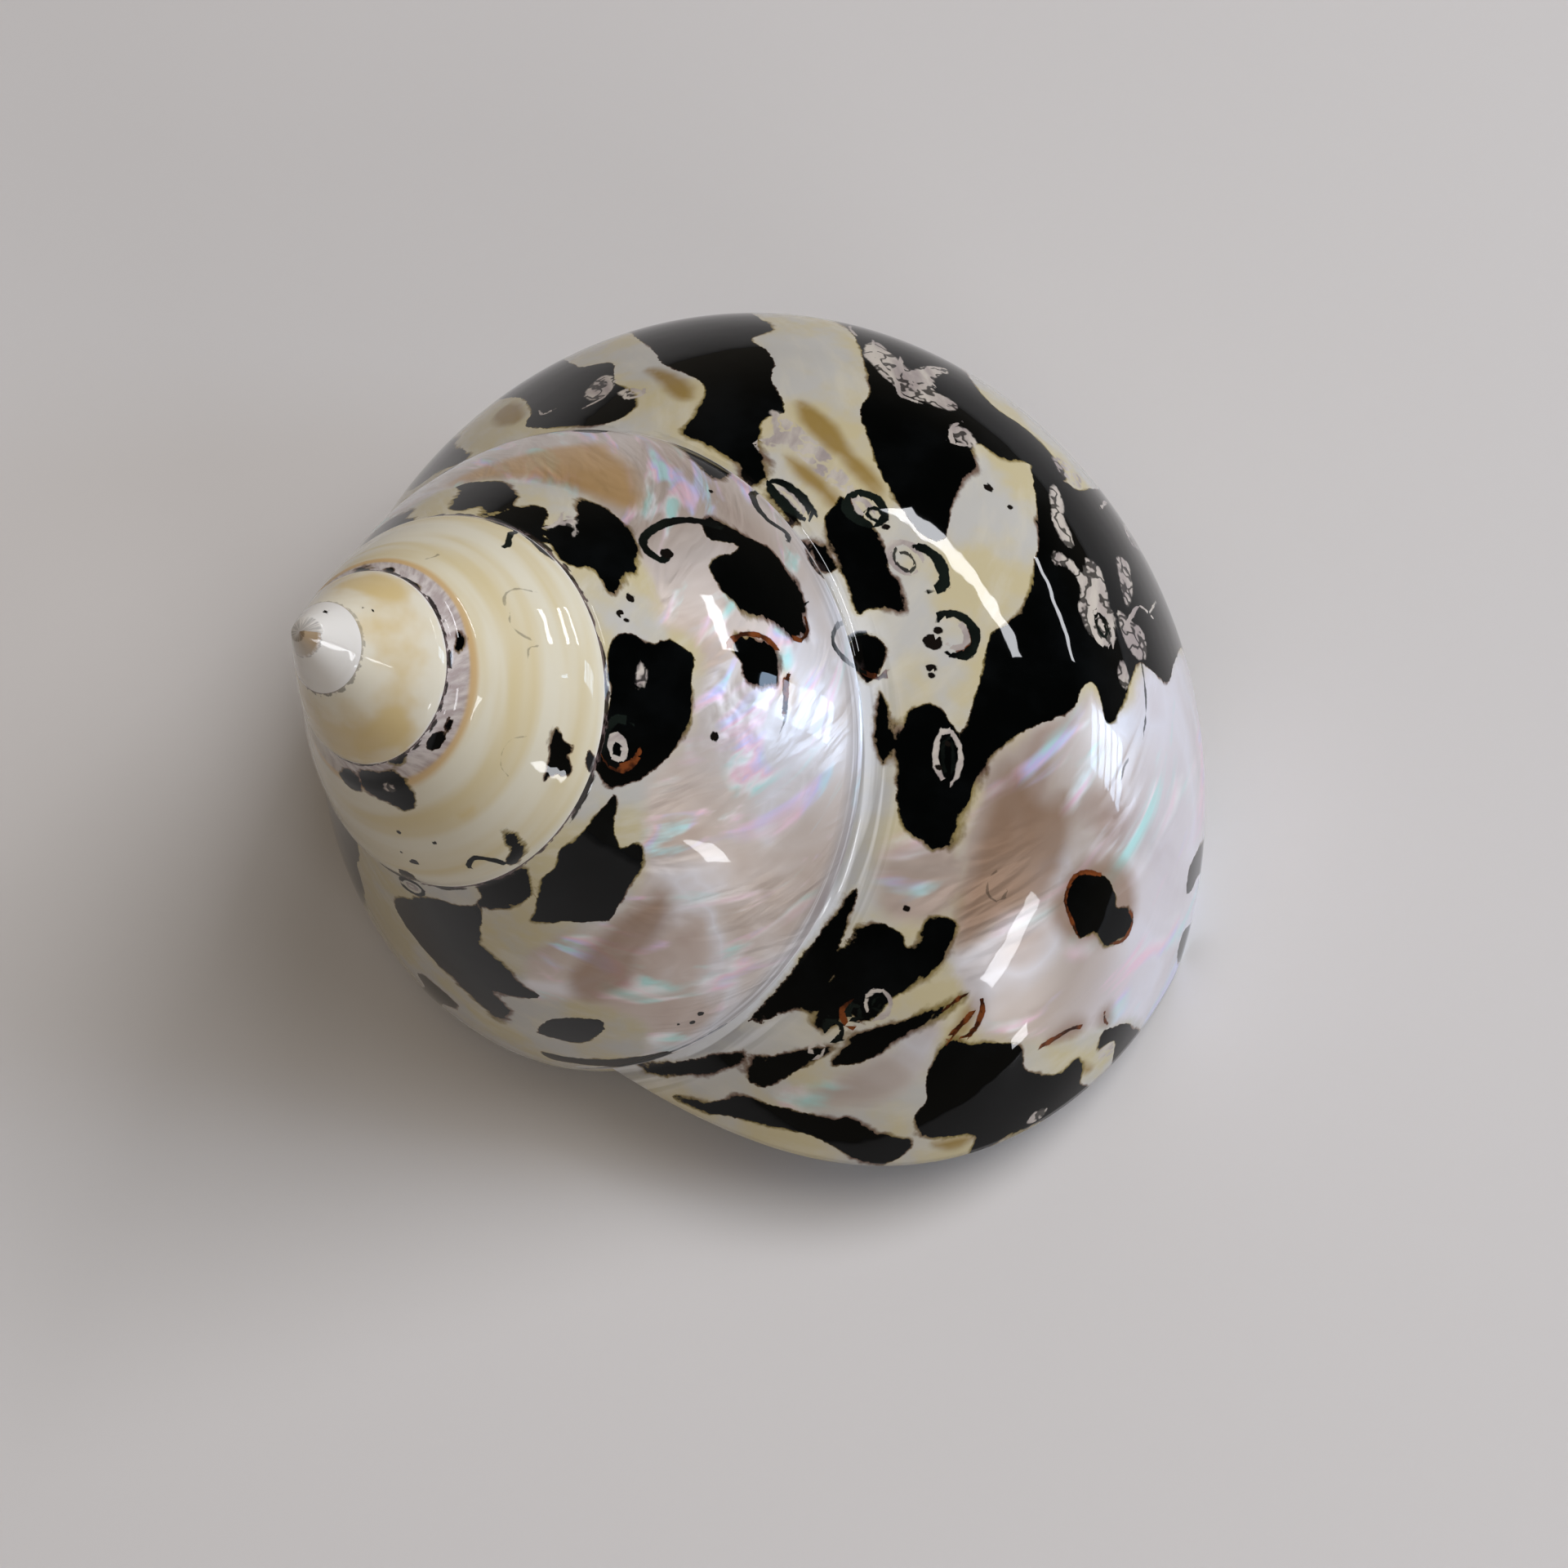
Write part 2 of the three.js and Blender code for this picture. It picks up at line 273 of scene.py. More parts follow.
shell_low, shell_high = (np.array(corner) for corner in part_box("shell"))
middle = (points.min(0) + points.max(0)) / 2
stand = np.append((shell_low + shell_high)[:2] / 2 - middle[:2], shell_high[2] - points[:, 2].max())
points = points + stand
points[:, 2] = np.maximum(points[:, 2], shell_low[2])


# Markings: dark flames and blotches of the outer layer, pale scribbles left by worms, bare pearl and
# ochre stains. Each is a closed outline in turn and across, drawn smooth through a few points.
BLACK = {
    "far_stripe": [(3.588, 0), (3.6, .05), (3.594, .2), (3.582, .4), (3.572, .6), (3.566, .8), (3.552, .98),
        (3.538, .95), (3.547, .75), (3.556, .55), (3.563, .38), (3.571, .2), (3.58, .05)],
    "far_flame": [(3.66, .06), (3.655, .14), (3.645, .22), (3.64, .34), (3.63, .46), (3.624, .6),
        (3.616, .75), (3.602, .9), (3.596, 1.05), (3.57, 1.12), (3.566, .97), (3.58, .8), (3.586, .62),
        (3.598, .46), (3.607, .32), (3.617, .2), (3.635, .13)],
    "far_blotch": [(3.7, .07), (3.722, .03), (3.752, .02), (3.762, .08), (3.752, .14), (3.737, .2),
        (3.727, .3), (3.71, .33), (3.7, .4), (3.69, .5), (3.68, .62), (3.672, .76), (3.677, .87),
        (3.663, 1), (3.65, 1.16), (3.622, 1.16), (3.625, 1), (3.638, .86), (3.64, .72), (3.652, .58),
        (3.66, .45), (3.671, .36), (3.686, .25), (3.696, .15)],
    "upper_blotch": [(3.8, .03), (3.822, .03), (3.848, 0), (3.852, .03), (3.836, .075), (3.822, .14),
        (3.825, .19), (3.806, .27), (3.8, .33), (3.79, .38), (3.78, .42), (3.782, .5), (3.771, .57),
        (3.761, .65), (3.75, .74), (3.744, .86), (3.731, .98), (3.727, 1.1), (3.69, 1.16), (3.692, 1),
        (3.7, .85), (3.708, .68), (3.72, .53), (3.73, .43), (3.745, .33), (3.756, .26), (3.78, .2),
        (3.79, .15), (3.795, .08)],
    "upper_flame": [(3.845, .3), (3.86, .25), (3.88, .205), (3.905, .197), (3.912, .235), (3.9, .29),
        (3.893, .34), (3.888, .4), (3.88, .44), (3.877, .48), (3.885, .51), (3.888, .58), (3.895, .65),
        (3.892, .72), (3.875, .72), (3.862, .67), (3.85, .7), (3.84, .76), (3.828, .86), (3.823, .98),
        (3.808, 1.1), (3.77, 1.14), (3.772, 1), (3.782, .88), (3.79, .73), (3.8, .65), (3.811, .57),
        (3.82, .5), (3.832, .42), (3.84, .36)],
    "suture_bar": [(3.886, .06), (3.9, .035), (3.92, .031), (3.938, .025), (3.935, .06), (3.94, .1),
        (3.933, .112), (3.92, .104), (3.91, .12), (3.89, .12), (3.878, .11), (3.882, .09)],
    "great_flame": [(3.952, .25), (3.966, .215), (3.985, .175), (4, .158), (4.022, .163), (4.01, .19),
        (3.998, .215), (3.989, .27), (3.984, .33), (3.979, .4), (3.971, .44), (3.97, .48), (3.982, .5),
        (3.976, .55), (3.968, .6), (3.961, .65), (3.962, .7), (3.965, .76), (3.963, .8), (3.957, .85),
        (3.951, .92), (3.946, 1), (3.938, 1.12), (3.915, 1.2), (3.885, 1.16), (3.884, 1.02), (3.892, .9),
        (3.896, .8), (3.899, .72), (3.893, .64), (3.89, .59), (3.902, .53), (3.916, .47), (3.926, .42),
        (3.936, .38), (3.944, .33), (3.949, .29)],
    "ringed_lobe": [(3.985, .07), (4, .055), (4.02, .055), (4.034, .075), (4.037, .11), (4.036, .15),
        (4.02, .166), (4, .163), (3.99, .152), (3.981, .12), (3.981, .09)],
    "pearl_spot": [(4.029, .455), (4.032, .425), (4.039, .415), (4.044, .44), (4.049, .48), (4.046, .52),
        (4.048, .57), (4.045, .625), (4.039, .64), (4.0355, .61), (4.037, .57), (4.033, .555),
        (4.0285, .51)],
    "near_blotch": [(4.075, .09), (4.08, .065), (4.09, .06), (4.1, .07), (4.12, .05), (4.126, .06),
        (4.121, .08), (4.13, .085), (4.126, .1), (4.115, .12), (4.112, .15), (4.1, .16), (4.095, .17),
        (4.08, .2), (4.062, .205), (4.062, .17), (4.067, .155), (4.08, .15), (4.075, .12)],
    "suture_line": [(4.066, .036), (4.078, .02), (4.106, .01), (4.135, .012), (4.158, .02), (4.14, .034),
        (4.125, .05), (4.105, .066), (4.09, .066), (4.096, .048), (4.08, .04)],
    "slant_stripe": [(4.083, .275), (4.09, .25), (4.1, .21), (4.11, .175), (4.12, .155), (4.136, .148),
        (4.13, .175), (4.12, .2), (4.105, .22), (4.095, .245)],
    "lip_patch": [(4.132, .13), (4.145, .09), (4.16, .074), (4.168, .085), (4.165, .11), (4.155, .12),
        (4.145, .125)],
    "lip_streak": [(4.158, .062), (4.168, .038), (4.19, .018), (4.215, 0), (4.205, .024), (4.18, .05)],
    "lip_band": [(4.205, .06), (4.19, .09), (4.175, .11), (4.165, .15), (4.155, .2), (4.145, .25),
        (4.14, .32), (4.135, .385), (4.146, .385), (4.153, .33), (4.156, .28), (4.161, .23), (4.171, .18),
        (4.181, .14), (4.196, .1)],
    "near_flame": [(4.098, .3), (4.105, .293), (4.115, .31), (4.12, .34), (4.127, .345), (4.13, .38),
        (4.127, .42), (4.123, .46), (4.119, .5), (4.125, .53), (4.118, .57), (4.11, .61), (4.105, .66),
        (4.097, .73), (4.092, .76), (4.09, .7), (4.085, .67), (4.083, .63), (4.09, .6), (4.093, .5),
        (4.087, .45), (4.09, .4), (4.095, .35)],
    "near_tail": [(4.073, .68), (4.078, .7), (4.075, .75), (4.08, .79), (4.085, .83), (4.079, .87),
        (4.074, .9), (4.071, .85), (4.069, .78), (4.071, .72)],
    "edge_mark": [(4.014, .94), (4.02, .89), (4.027, .9), (4.026, .94), (4.021, .98), (4.019, 1.05),
        (4.008, 1.08), (4.01, 1)],
    "edge_mark_2": [(4.037, 1), (4.04, .94), (4.047, .95), (4.049, 1), (4.045, 1.08), (4.036, 1.08)],
    "suture_fleck": [(3.975, .03), (3.985, .022), (4, .025), (4.01, .036), (4, .045), (3.985, .041)],
    "suture_ring": [(3.948, .01), (3.956, 0), (3.967, .004), (3.972, .02), (3.966, .035), (3.957, .055),
        (3.95, .04)],
    "suture_knot": [(3.895, 0), (3.912, 0), (3.914, .02), (3.905, .03), (3.898, .024)],
    "suture_dash": [(3.858, .012), (3.88, 0), (3.886, .012), (3.87, .024)],
    "whorl_far": [(2.64, 0), (2.69, 0), (2.7, .05), (2.682, .12), (2.682, .2), (2.66, .25), (2.64, .29),
        (2.622, .25), (2.63, .1)],
    "whorl_slate": [(2.735, .08), (2.75, .05), (2.765, .1), (2.78, .03), (2.79, .1), (2.784, .18),
        (2.775, .25), (2.76, .3), (2.74, .32), (2.713, .33), (2.725, .25), (2.73, .15)],
    "whorl_top": [(2.79, 0), (2.83, 0), (2.85, .03), (2.832, .09), (2.82, .18), (2.806, .2), (2.795, .14),
        (2.786, .06)],
    "whorl_flame": [(2.835, .1), (2.846, .06), (2.86, .04), (2.876, .03), (2.885, .06), (2.888, .12),
        (2.9, .13), (2.915, .13), (2.91, .18), (2.899, .22), (2.902, .255), (2.885, .31), (2.87, .34),
        (2.85, .36), (2.83, .35), (2.822, .3), (2.838, .24), (2.833, .17)],
    "whorl_blob": [(2.9, .56), (2.905, .52), (2.915, .515), (2.926, .53), (2.938, .58), (2.942, .65),
        (2.948, .7), (2.951, .76), (2.94, .78), (2.933, .82), (2.915, .82), (2.9, .79), (2.89, .74),
        (2.88, .69), (2.871, .65), (2.875, .6), (2.886, .585), (2.89, .62), (2.894, .68), (2.899, .63)],
    "worm_knot": [(2.955, .5), (2.962, .48), (2.968, .51), (2.978, .51), (2.982, .56), (2.98, .61),
        (2.97, .64), (2.96, .64), (2.955, .6), (2.953, .55)],
    "whorl_mid": [(2.955, .07), (2.97, .03), (2.99, .02), (3, .03), (3.03, 0), (3.06, 0), (3.075, .08),
        (3.066, .15), (3.05, .22), (3.03, .28), (3, .32), (2.98, .33), (2.966, .35), (2.96, .31),
        (2.955, .27), (2.96, .2), (2.95, .13)],
    "whorl_near": [(3.08, .12), (3.1, .09), (3.12, .08), (3.14, .06), (3.152, .09), (3.17, .1),
        (3.184, .15), (3.195, .2), (3.2, .23), (3.18, .28), (3.165, .33), (3.156, .36), (3.14, .34),
        (3.12, .32), (3.105, .3), (3.1, .26), (3.111, .23), (3.101, .17), (3.09, .15)],
    "whorl_knot": [(3.175, .03), (3.19, 0), (3.222, 0), (3.225, .06), (3.236, .1), (3.22, .13), (3.2, .14),
        (3.186, .12), (3.18, .07)],
    "left_flame": [(3.235, .12), (3.252, .1), (3.28, .08), (3.3, .13), (3.32, .17), (3.326, .25),
        (3.32, .33), (3.306, .42), (3.291, .5), (3.281, .58), (3.275, .65), (3.265, .64), (3.26, .57),
        (3.266, .5), (3.246, .52), (3.232, .52), (3.24, .46), (3.243, .38), (3.251, .3), (3.246, .22)],
    "left_strip": [(3.365, .03), (3.382, .06), (3.402, .12), (3.421, .2), (3.431, .3), (3.436, .42),
        (3.422, .55), (3.402, .74), (3.39, .74), (3.38, .6), (3.372, .45), (3.369, .35), (3.372, .25),
        (3.365, .15)],
    "spindle": [(3.208, .68), (3.22, .64), (3.235, .63), (3.245, .66), (3.251, .7), (3.241, .74),
        (3.23, .77), (3.219, .75), (3.211, .72)],
    "left_drip": [(3.305, .65), (3.32, .6), (3.33, .63), (3.331, .72), (3.346, .84), (3.334, .86),
        (3.32, .76), (3.306, .7)],
    "edge_drip": [(3.245, .87), (3.26, .84), (3.258, .9), (3.24, .94), (3.22, 1), (3.19, 1), (3.2, .95),
        (3.216, .92)],
    "edge_slate": [(2.825, .88), (2.841, .83), (2.845, .87), (2.84, .95), (2.832, 1), (2.8, 1),
        (2.811, .93)],
    "edge_far": [(2.75, .86), (2.765, .85), (2.766, .93), (2.772, 1), (2.738, 1), (2.745, .92)],
    "edge_blob": [(2.9, 1), (2.905, .965), (2.914, .97), (2.917, 1)],
    "loop": [(2.214, .15), (2.225, .09), (2.25, .08), (2.275, .08), (2.29, .12), (2.285, .2), (2.27, .26),
        (2.251, .3), (2.236, .35), (2.221, .33), (2.21, .25)],
    "loop_side": [(2.29, .15), (2.31, .12), (2.328, .2), (2.311, .25), (2.291, .22)],
    "smudge": [(2.045, .68), (2.06, .67), (2.08, .7), (2.095, .72), (2.085, .76), (2.081, .83),
        (2.072, .84), (2.066, .79), (2.055, .82), (2.055, .75)],
    "comma": [(2.155, .76), (2.16, .74), (2.165, .78), (2.17, .85), (2.18, .88), (2.18, .93), (2.175, .97),
        (2.168, .93), (2.16, .9), (2.155, .83)],
    "band_smudge": [(1.955, .13), (1.965, .09), (1.982, .075), (1.985, .1), (1.972, .14), (1.96, .155)],
    "band_smudge_2": [(2.082, .11), (2.092, .09), (2.108, .1), (2.125, .06), (2.145, .07), (2.15, .11),
        (2.135, .14), (2.115, .13), (2.095, .135)],
    "band_smudge_3": [(2.18, .02), (2.195, 0), (2.212, .02), (2.206, .05), (2.19, .05)],
    "band_smudge_4": [(1.77, .1), (1.775, .05), (1.786, .03), (1.79, .07), (1.782, .11)],
    "band_smudge_5": [(1.815, .03), (1.835, 0), (1.86, .01), (1.855, .04), (1.835, .05)],
    "band_smudge_6": [(1.7, .1), (1.712, .02), (1.736, .01), (1.735, .08), (1.715, .12)],
    "edge_tooth": [(2.054, .92), (2.065, .93), (2.071, 1), (2.06, 1)],
    "edge_tooth_2": [(2.278, .86), (2.292, .84), (2.296, .94), (2.305, 1), (2.282, 1)],
    "edge_tooth_3": [(1.795, 1), (1.803, .94), (1.812, .96), (1.83, .98), (1.86, .93), (1.868, 1)],
}
PALE = {
    "oval": [(3.898, .63), (3.9, .59), (3.91, .545), (3.92, .53), (3.923, .56), (3.912, .58), (3.905, .61)],
    "scribble": [(3.923, .48), (3.928, .47), (3.93, .5), (3.937, .52), (3.945, .49), (3.953, .5),
        (3.957, .54), (3.954, .58), (3.947, .59), (3.94, .6), (3.93, .62), (3.926, .58), (3.932, .55),
        (3.926, .52)],
    "lower_oval": [(3.923, .73), (3.93, .69), (3.942, .67), (3.94, .7), (3.932, .75), (3.926, .78)],
    "smear": [(3.945, .62), (3.955, .62), (3.96, .66), (3.957, .7), (3.95, .71), (3.947, .67)],
    "fleck": [(3.96, .59), (3.965, .56), (3.97, .57), (3.968, .6)],
    "drip": [(3.884, .72), (3.893, .69), (3.898, .73), (3.893, .79), (3.887, .78)],
    "slit": [(3.908, .9), (3.915, .88), (3.913, .96), (3.905, 1.04), (3.9, 1)],
    "crawl": [(3.818, .52), (3.83, .47), (3.845, .43), (3.852, .46), (3.86, .5), (3.858, .54), (3.848, .53),
        (3.842, .6), (3.838, .68), (3.835, .62), (3.836, .55), (3.825, .58), (3.814, .62)],
    "crawl_2": [(3.866, .46), (3.873, .43), (3.88, .46), (3.872, .49)],
    "crawl_3": [(3.725, .16), (3.735, .12), (3.74, .17), (3.735, .22), (3.727, .23)],
    "crawl_4": [(3.745, .14), (3.755, .12), (3.76, .14), (3.75, .16)],
    "upper_streak": [(3.82, .18), (3.833, .12), (3.832, .08), (3.838, .085), (3.842, .115), (3.86, .11),
        (3.878, .12), (3.88, .14), (3.86, .16), (3.84, .17)],
    "flame_slit": [(2.828, .19), (2.832, .11), (2.838, .1), (2.836, .16), (2.846, .19), (2.853, .155),
        (2.85, .19), (2.836, .235)],
    "mid_smear": [(2.972, .15), (2.982, .14), (2.995, .13), (2.992, .16), (2.978, .17)],
    "loop_eye": [(2.232, .19), (2.24, .165), (2.25, .18), (2.246, .21), (2.236, .215)],
    "tail_eye": [(4.0755, .74), (4.079, .71), (4.082, .73), (4.08, .77), (4.0765, .77)],
    "flame_eye": [(4.101, .64), (4.104, .61), (4.108, .61), (4.105, .645)],
}
PEARL = {
    "body_patch": [(4.03, .172), (4.012, .19), (3.998, .215), (3.989, .27), (3.984, .33), (3.979, .4),
        (3.971, .46), (3.976, .55), (3.962, .66), (3.964, .77), (3.955, .88), (3.946, 1.02), (3.94, 1.14),
        (4, 1.2), (4.075, 1.14), (4.073, .95), (4.068, .8), (4.071, .68), (4.08, .55), (4.088, .42),
        (4.092, .34), (4.084, .28), (4.07, .21), (4.05, .19)],
    "whorl_patch": [(2.5, .4), (2.56, .33), (2.68, .31), (2.75, .34), (2.82, .35), (2.89, .3), (2.94, .26),
        (2.965, .36), (3.02, .3), (3.055, .23), (3.09, .25), (3.12, .33), (3.156, .37), (3.19, .31),
        (3.225, .36), (3.235, .5), (3.205, .6), (3.19, .76), (3.2, .9), (3.19, 1.02), (2.9, 1.05),
        (2.56, 1.02), (2.5, .8)],
    "suture_patch": [(4.05, .045), (4.036, .08), (4.032, .15), (4.047, .2), (4.064, .17), (4.073, .09)],
    "lower_patch": [(4.095, .24), (4.115, .215), (4.135, .18), (4.16, .14), (4.16, .17), (4.145, .22),
        (4.13, .27), (4.11, .29), (4.098, .28)],
}
STAIN = {
    "gold": [(3.825, .235), (3.838, .19), (3.855, .17), (3.872, .165), (3.888, .175), (3.876, .195),
        (3.858, .205), (3.842, .225)],
    "gold_2": [(3.845, .095), (3.86, .075), (3.886, .09), (3.88, .105), (3.86, .11)],
    "olive": [(3.668, .26), (3.676, .17), (3.688, .12), (3.692, .15), (3.685, .22), (3.674, .29)],
    "olive_2": [(3.75, .24), (3.762, .18), (3.776, .13), (3.786, .13), (3.78, .17), (3.764, .22)],
    "halo": [(4.024, .5), (4.03, .42), (4.04, .39), (4.048, .42), (4.05, .5), (4.048, .57), (4.036, .64),
        (4.026, .58)],
    "rust": [(4.08, .3), (4.086, .28), (4.1, .295), (4.094, .32), (4.084, .325)],
    "rust_2": [(4.072, .59), (4.074, .55), (4.08, .51), (4.084, .51), (4.08, .56), (4.076, .595)],
    "rust_3": [(4.066, .66), (4.068, .64), (4.071, .66), (4.07, .69)],
    "rust_4": [(4.083, .66), (4.087, .66), (4.087, .71), (4.084, .72)],
    "rust_5": [(4.119, .5), (4.124, .46), (4.13, .42), (4.131, .44), (4.126, .49)],
    "tan": [(4, .26), (4.01, .22), (4.03, .195), (4.06, .2), (4.07, .23), (4.05, .3), (4.04, .36),
        (4.02, .4), (4.006, .38), (4.01, .32)],
    "peach": [(2.7, .38), (2.76, .35), (2.83, .38), (2.85, .45), (2.83, .55), (2.8, .66), (2.78, .74),
        (2.762, .66), (2.73, .52)],
    "tan_2": [(3.12, .4), (3.18, .4), (3.21, .48), (3.205, .58), (3.18, .6), (3.16, .52), (3.13, .5)],
    "worm_rust": [(2.951, .52), (2.953, .5), (2.957, .54), (2.956, .6), (2.962, .645), (2.957, .65),
        (2.952, .6)],
    "worm_rust_2": [(2.967, .645), (2.98, .635), (2.992, .65), (2.985, .68), (2.974, .68)],
    "chip": [(2.155, .48), (2.18, .47), (2.185, .52), (2.166, .55)],
    "yellow": [(.7, .5), (.76, .38), (.84, .4), (.87, .52), (.88, .7), (.85, .85), (.76, .85)],
    "yellow_2": [(1.11, .6), (1.14, .45), (1.2, .5), (1.26, .66), (1.24, .82), (1.15, .84)],
}


# Fine lines: worm tracks, curls and dashes, each an open line of turn and across with its half width in
# millimetres. Rings and curls are spirals round a middle: radius, winds, start angle and inward step.
DARK_LINES = {
    "hook": (.3, [(2.891, .41), (2.895, .375), (2.888, .35), (2.879, .355), (2.872, .4), (2.868, .47),
        (2.868, .53), (2.872, .6), (2.881, .67)]),
    "arch": (.26, [(2.857, 1), (2.861, .93), (2.87, .89), (2.88, .885), (2.889, .93), (2.895, .9)]),
    "arch_2": (.24, [(2.941, 1), (2.945, .94), (2.952, .9), (2.959, .92), (2.965, 1)]),
    "young_tail": (.17, [(1.842, .72), (1.841, .77), (1.834, .82), (1.828, .88), (1.826, .94), (1.82, 1)]),
    "young_arch": (.2, [(2.18, .92), (2.187, .84), (2.196, .78), (2.204, .765), (2.211, .8), (2.209, .83)]),
    "scratch": (.05, [(1.908, .68), (1.901, .58), (1.903, .51), (1.91, .47), (1.919, .45)]),
    "scratch_2": (.05, [(1.929, .46), (1.944, .44), (1.956, .48), (1.963, .54)]),
    "scratch_3": (.05, [(1.968, .57), (1.972, .51), (1.986, .49), (1.996, .46)]),
    "scratch_4": (.045, [(2.064, .53), (2.074, .46), (2.09, .44), (2.105, .47), (2.11, .53)]),
    "scratch_5": (.05, [(1.808, .28), (1.812, .34), (1.811, .39)]),
    "tail": (.09, [(3.985, .62), (3.976, .645), (3.966, .66), (3.958, .665)]),
    "crack": (.07, [(3.992, .56), (3.995, .545), (4, .535)]),
    "fleck": (.12, [(2.931, .85), (2.933, .82), (2.936, .8)]),
    "rust_line": (.07, [(2.99, .655), (2.998, .645), (3.008, .62)]),
    "edge_line": (.12, [(3.155, 1), (3.18, .985), (3.215, .975), (3.25, .985)]),
}
PALE_LINES = {
    "crawl": (.16, [(3.812, .63), (3.819, .56), (3.828, .5), (3.838, .47), (3.846, .43), (3.853, .45)]),
    "crawl_2": (.14, [(3.826, .6), (3.833, .54), (3.842, .5), (3.852, .49), (3.859, .52)]),
    "crawl_3": (.14, [(3.838, .7), (3.836, .63), (3.841, .57), (3.848, .54)]),
    "crawl_4": (.12, [(3.866, .5), (3.868, .45), (3.874, .42), (3.878, .46)]),
    "crawl_5": (.12, [(3.795, .72), (3.8, .66), (3.808, .6)]),
    "far_crawl": (.13, [(3.731, .09), (3.739, .13), (3.737, .18), (3.728, .24)]),
    "far_crawl_2": (.12, [(3.747, .16), (3.752, .12), (3.759, .13), (3.757, .16)]),
    "far_crawl_3": (.1, [(3.7, .15), (3.706, .11), (3.713, .12)]),
    "slit": (.1, [(2.831, .08), (2.835, .14), (2.831, .19), (2.823, .24)]),
    "slit_2": (.08, [(2.854, .15), (2.847, .19), (2.836, .215)]),
    "streak": (.1, [(3.826, .16), (3.834, .12), (3.831, .085), (3.837, .07)]),
    "edge_slit": (.14, [(3.944, .8), (3.941, .74), (3.945, .68), (3.95, .63)]),
    "edge_slit_2": (.1, [(3.936, .86), (3.94, .81), (3.943, .77)]),
    "edge_slit_3": (.12, [(3.897, .9), (3.901, .84), (3.905, .78)]),
}
RUST_LINES = {
    "knot_rim": (.2, [(2.96, .47), (2.954, .5), (2.951, .55), (2.953, .61), (2.96, .65)]),
    "worm_tail": (.22, [(2.972, .675), (2.98, .655), (2.989, .65), (2.996, .64)]),
    "blob_rim": (.16, [(2.951, .7), (2.953, .75), (2.948, .79), (2.939, .8)]),
    "stripe_tip": (.14, [(4.08, .285), (4.086, .265), (4.093, .25)]),
    "flame_rim": (.2, [(4.085, .31), (4.092, .3), (4.1, .292)]),
    "stripe_hook": (.2, [(4.079, .305), (4.084, .325), (4.091, .33), (4.097, .315)]),
    "flame_edge": (.2, [(4.0735, .595), (4.076, .56), (4.081, .525), (4.085, .5)]),
    "flame_edge_2": (.14, [(4.067, .65), (4.0695, .665), (4.0705, .685)]),
    "spot_rim": (.14, [(4.0285, .5), (4.029, .455), (4.032, .425), (4.039, .415), (4.044, .44),
        (4.049, .48)]),
    "spot_rim_2": (.12, [(4.048, .57), (4.045, .625), (4.039, .64), (4.0355, .61)]),
}
DARK_RINGS = {
    "upper_ring": (.3, (3.8885, .135), (1.45, 1.0), 1.0, 200, .15),
    "upper_ring_heart": (.14, (3.893, .142), (.6, .45), 1.0, 0, .1),
    "glint_ring": (.35, (3.922, .165), (1.75, 1.2), .5, -10, .1),
    "glint_heart": (.1, (3.917, .145), (1.0, .7), 1.2, 160, .4),
    "great_ring": (.3, (3.951, .178), (1.6, 1.35), .72, -35, .35),
    "suture_curl": (.2, (3.958, .024), (1.5, 1.0), .6, 150, .2),
    "whorl_curl": (.32, (3.040, .085), (1.6, 1.5), .62, 150, .3),
    "left_ring": (.2, (3.296, .05), (1.2, .9), 1.0, 0, .1),
    "lobe_lace": (.09, (4.001, .135), (1.2, .35), 1.0, 0, .1),
    "scribble_ring": (.16, (3.950, .545), (.9, .6), 1.2, 30, .2),
    "small_ring": (.09, (4.104, .146), (.6, .4), 1.3, 0, .2),
    "lens": (.24, (3.870, .035), (2.0, .55), 1.0, 0, .1),
    "pearl_ring": (.06, (4.043, .259), (1.0, .7), .7, 200, .1),
    "near_curl": (.2, (4.1246, .116), (.7, .5), 1.0, 0, .1),
    "near_curl_2": (.15, (4.113, .122), (.5, .4), 1.0, 0, .1),
}
PALE_RINGS = {
    "lobe_ring": (.16, (4.001, .135), (1.75, .75), 1.0, 0, .1),
    "scribble_halo": (.2, (3.950, .545), (1.5, 1.1), 1.0, 0, .1),
    "whorl_heart": (.32, (3.045, .07), (.75, .7), 1.0, 40, .1),
    "small_halo": (.16, (4.104, .146), (1.0, .75), 1.0, 0, .1),
    "ring_heart": (.22, (3.951, .178), (1.05, .8), .55, -50, .2),
    "upper_heart": (.2, (3.887, .13), (.75, .4), 1.0, 0, .1),
    "glint_white": (.22, (3.916, .145), (1.35, .95), .9, 60, .3),
    "lens_heart": (.14, (3.870, .035), (1.2, .3), 1.0, 0, .1),
    "left_heart": (.22, (3.296, .05), (.5, .3), 1.0, 0, .1),
    "near_speck": (.14, (4.1354, .118), (.6, .4), 1.0, 0, .1),
}
RUST_RINGS = {
    "curl_rust": (.24, (3.960, .03), (1.3, .9), .3, -60, .1),
    "whorl_rust": (.3, (3.040, .085), (1.6, 1.5), .45, -70, .1),
    "upper_rust": (.16, (3.8885, .135), (1.3, .85), .4, 120, .1),
    "great_rust": (.12, (3.951, .178), (1.3, 1.05), .4, -20, .1),
    "near_rust": (.2, (4.114, .124), (.85, .6), .6, 200, .1),
}
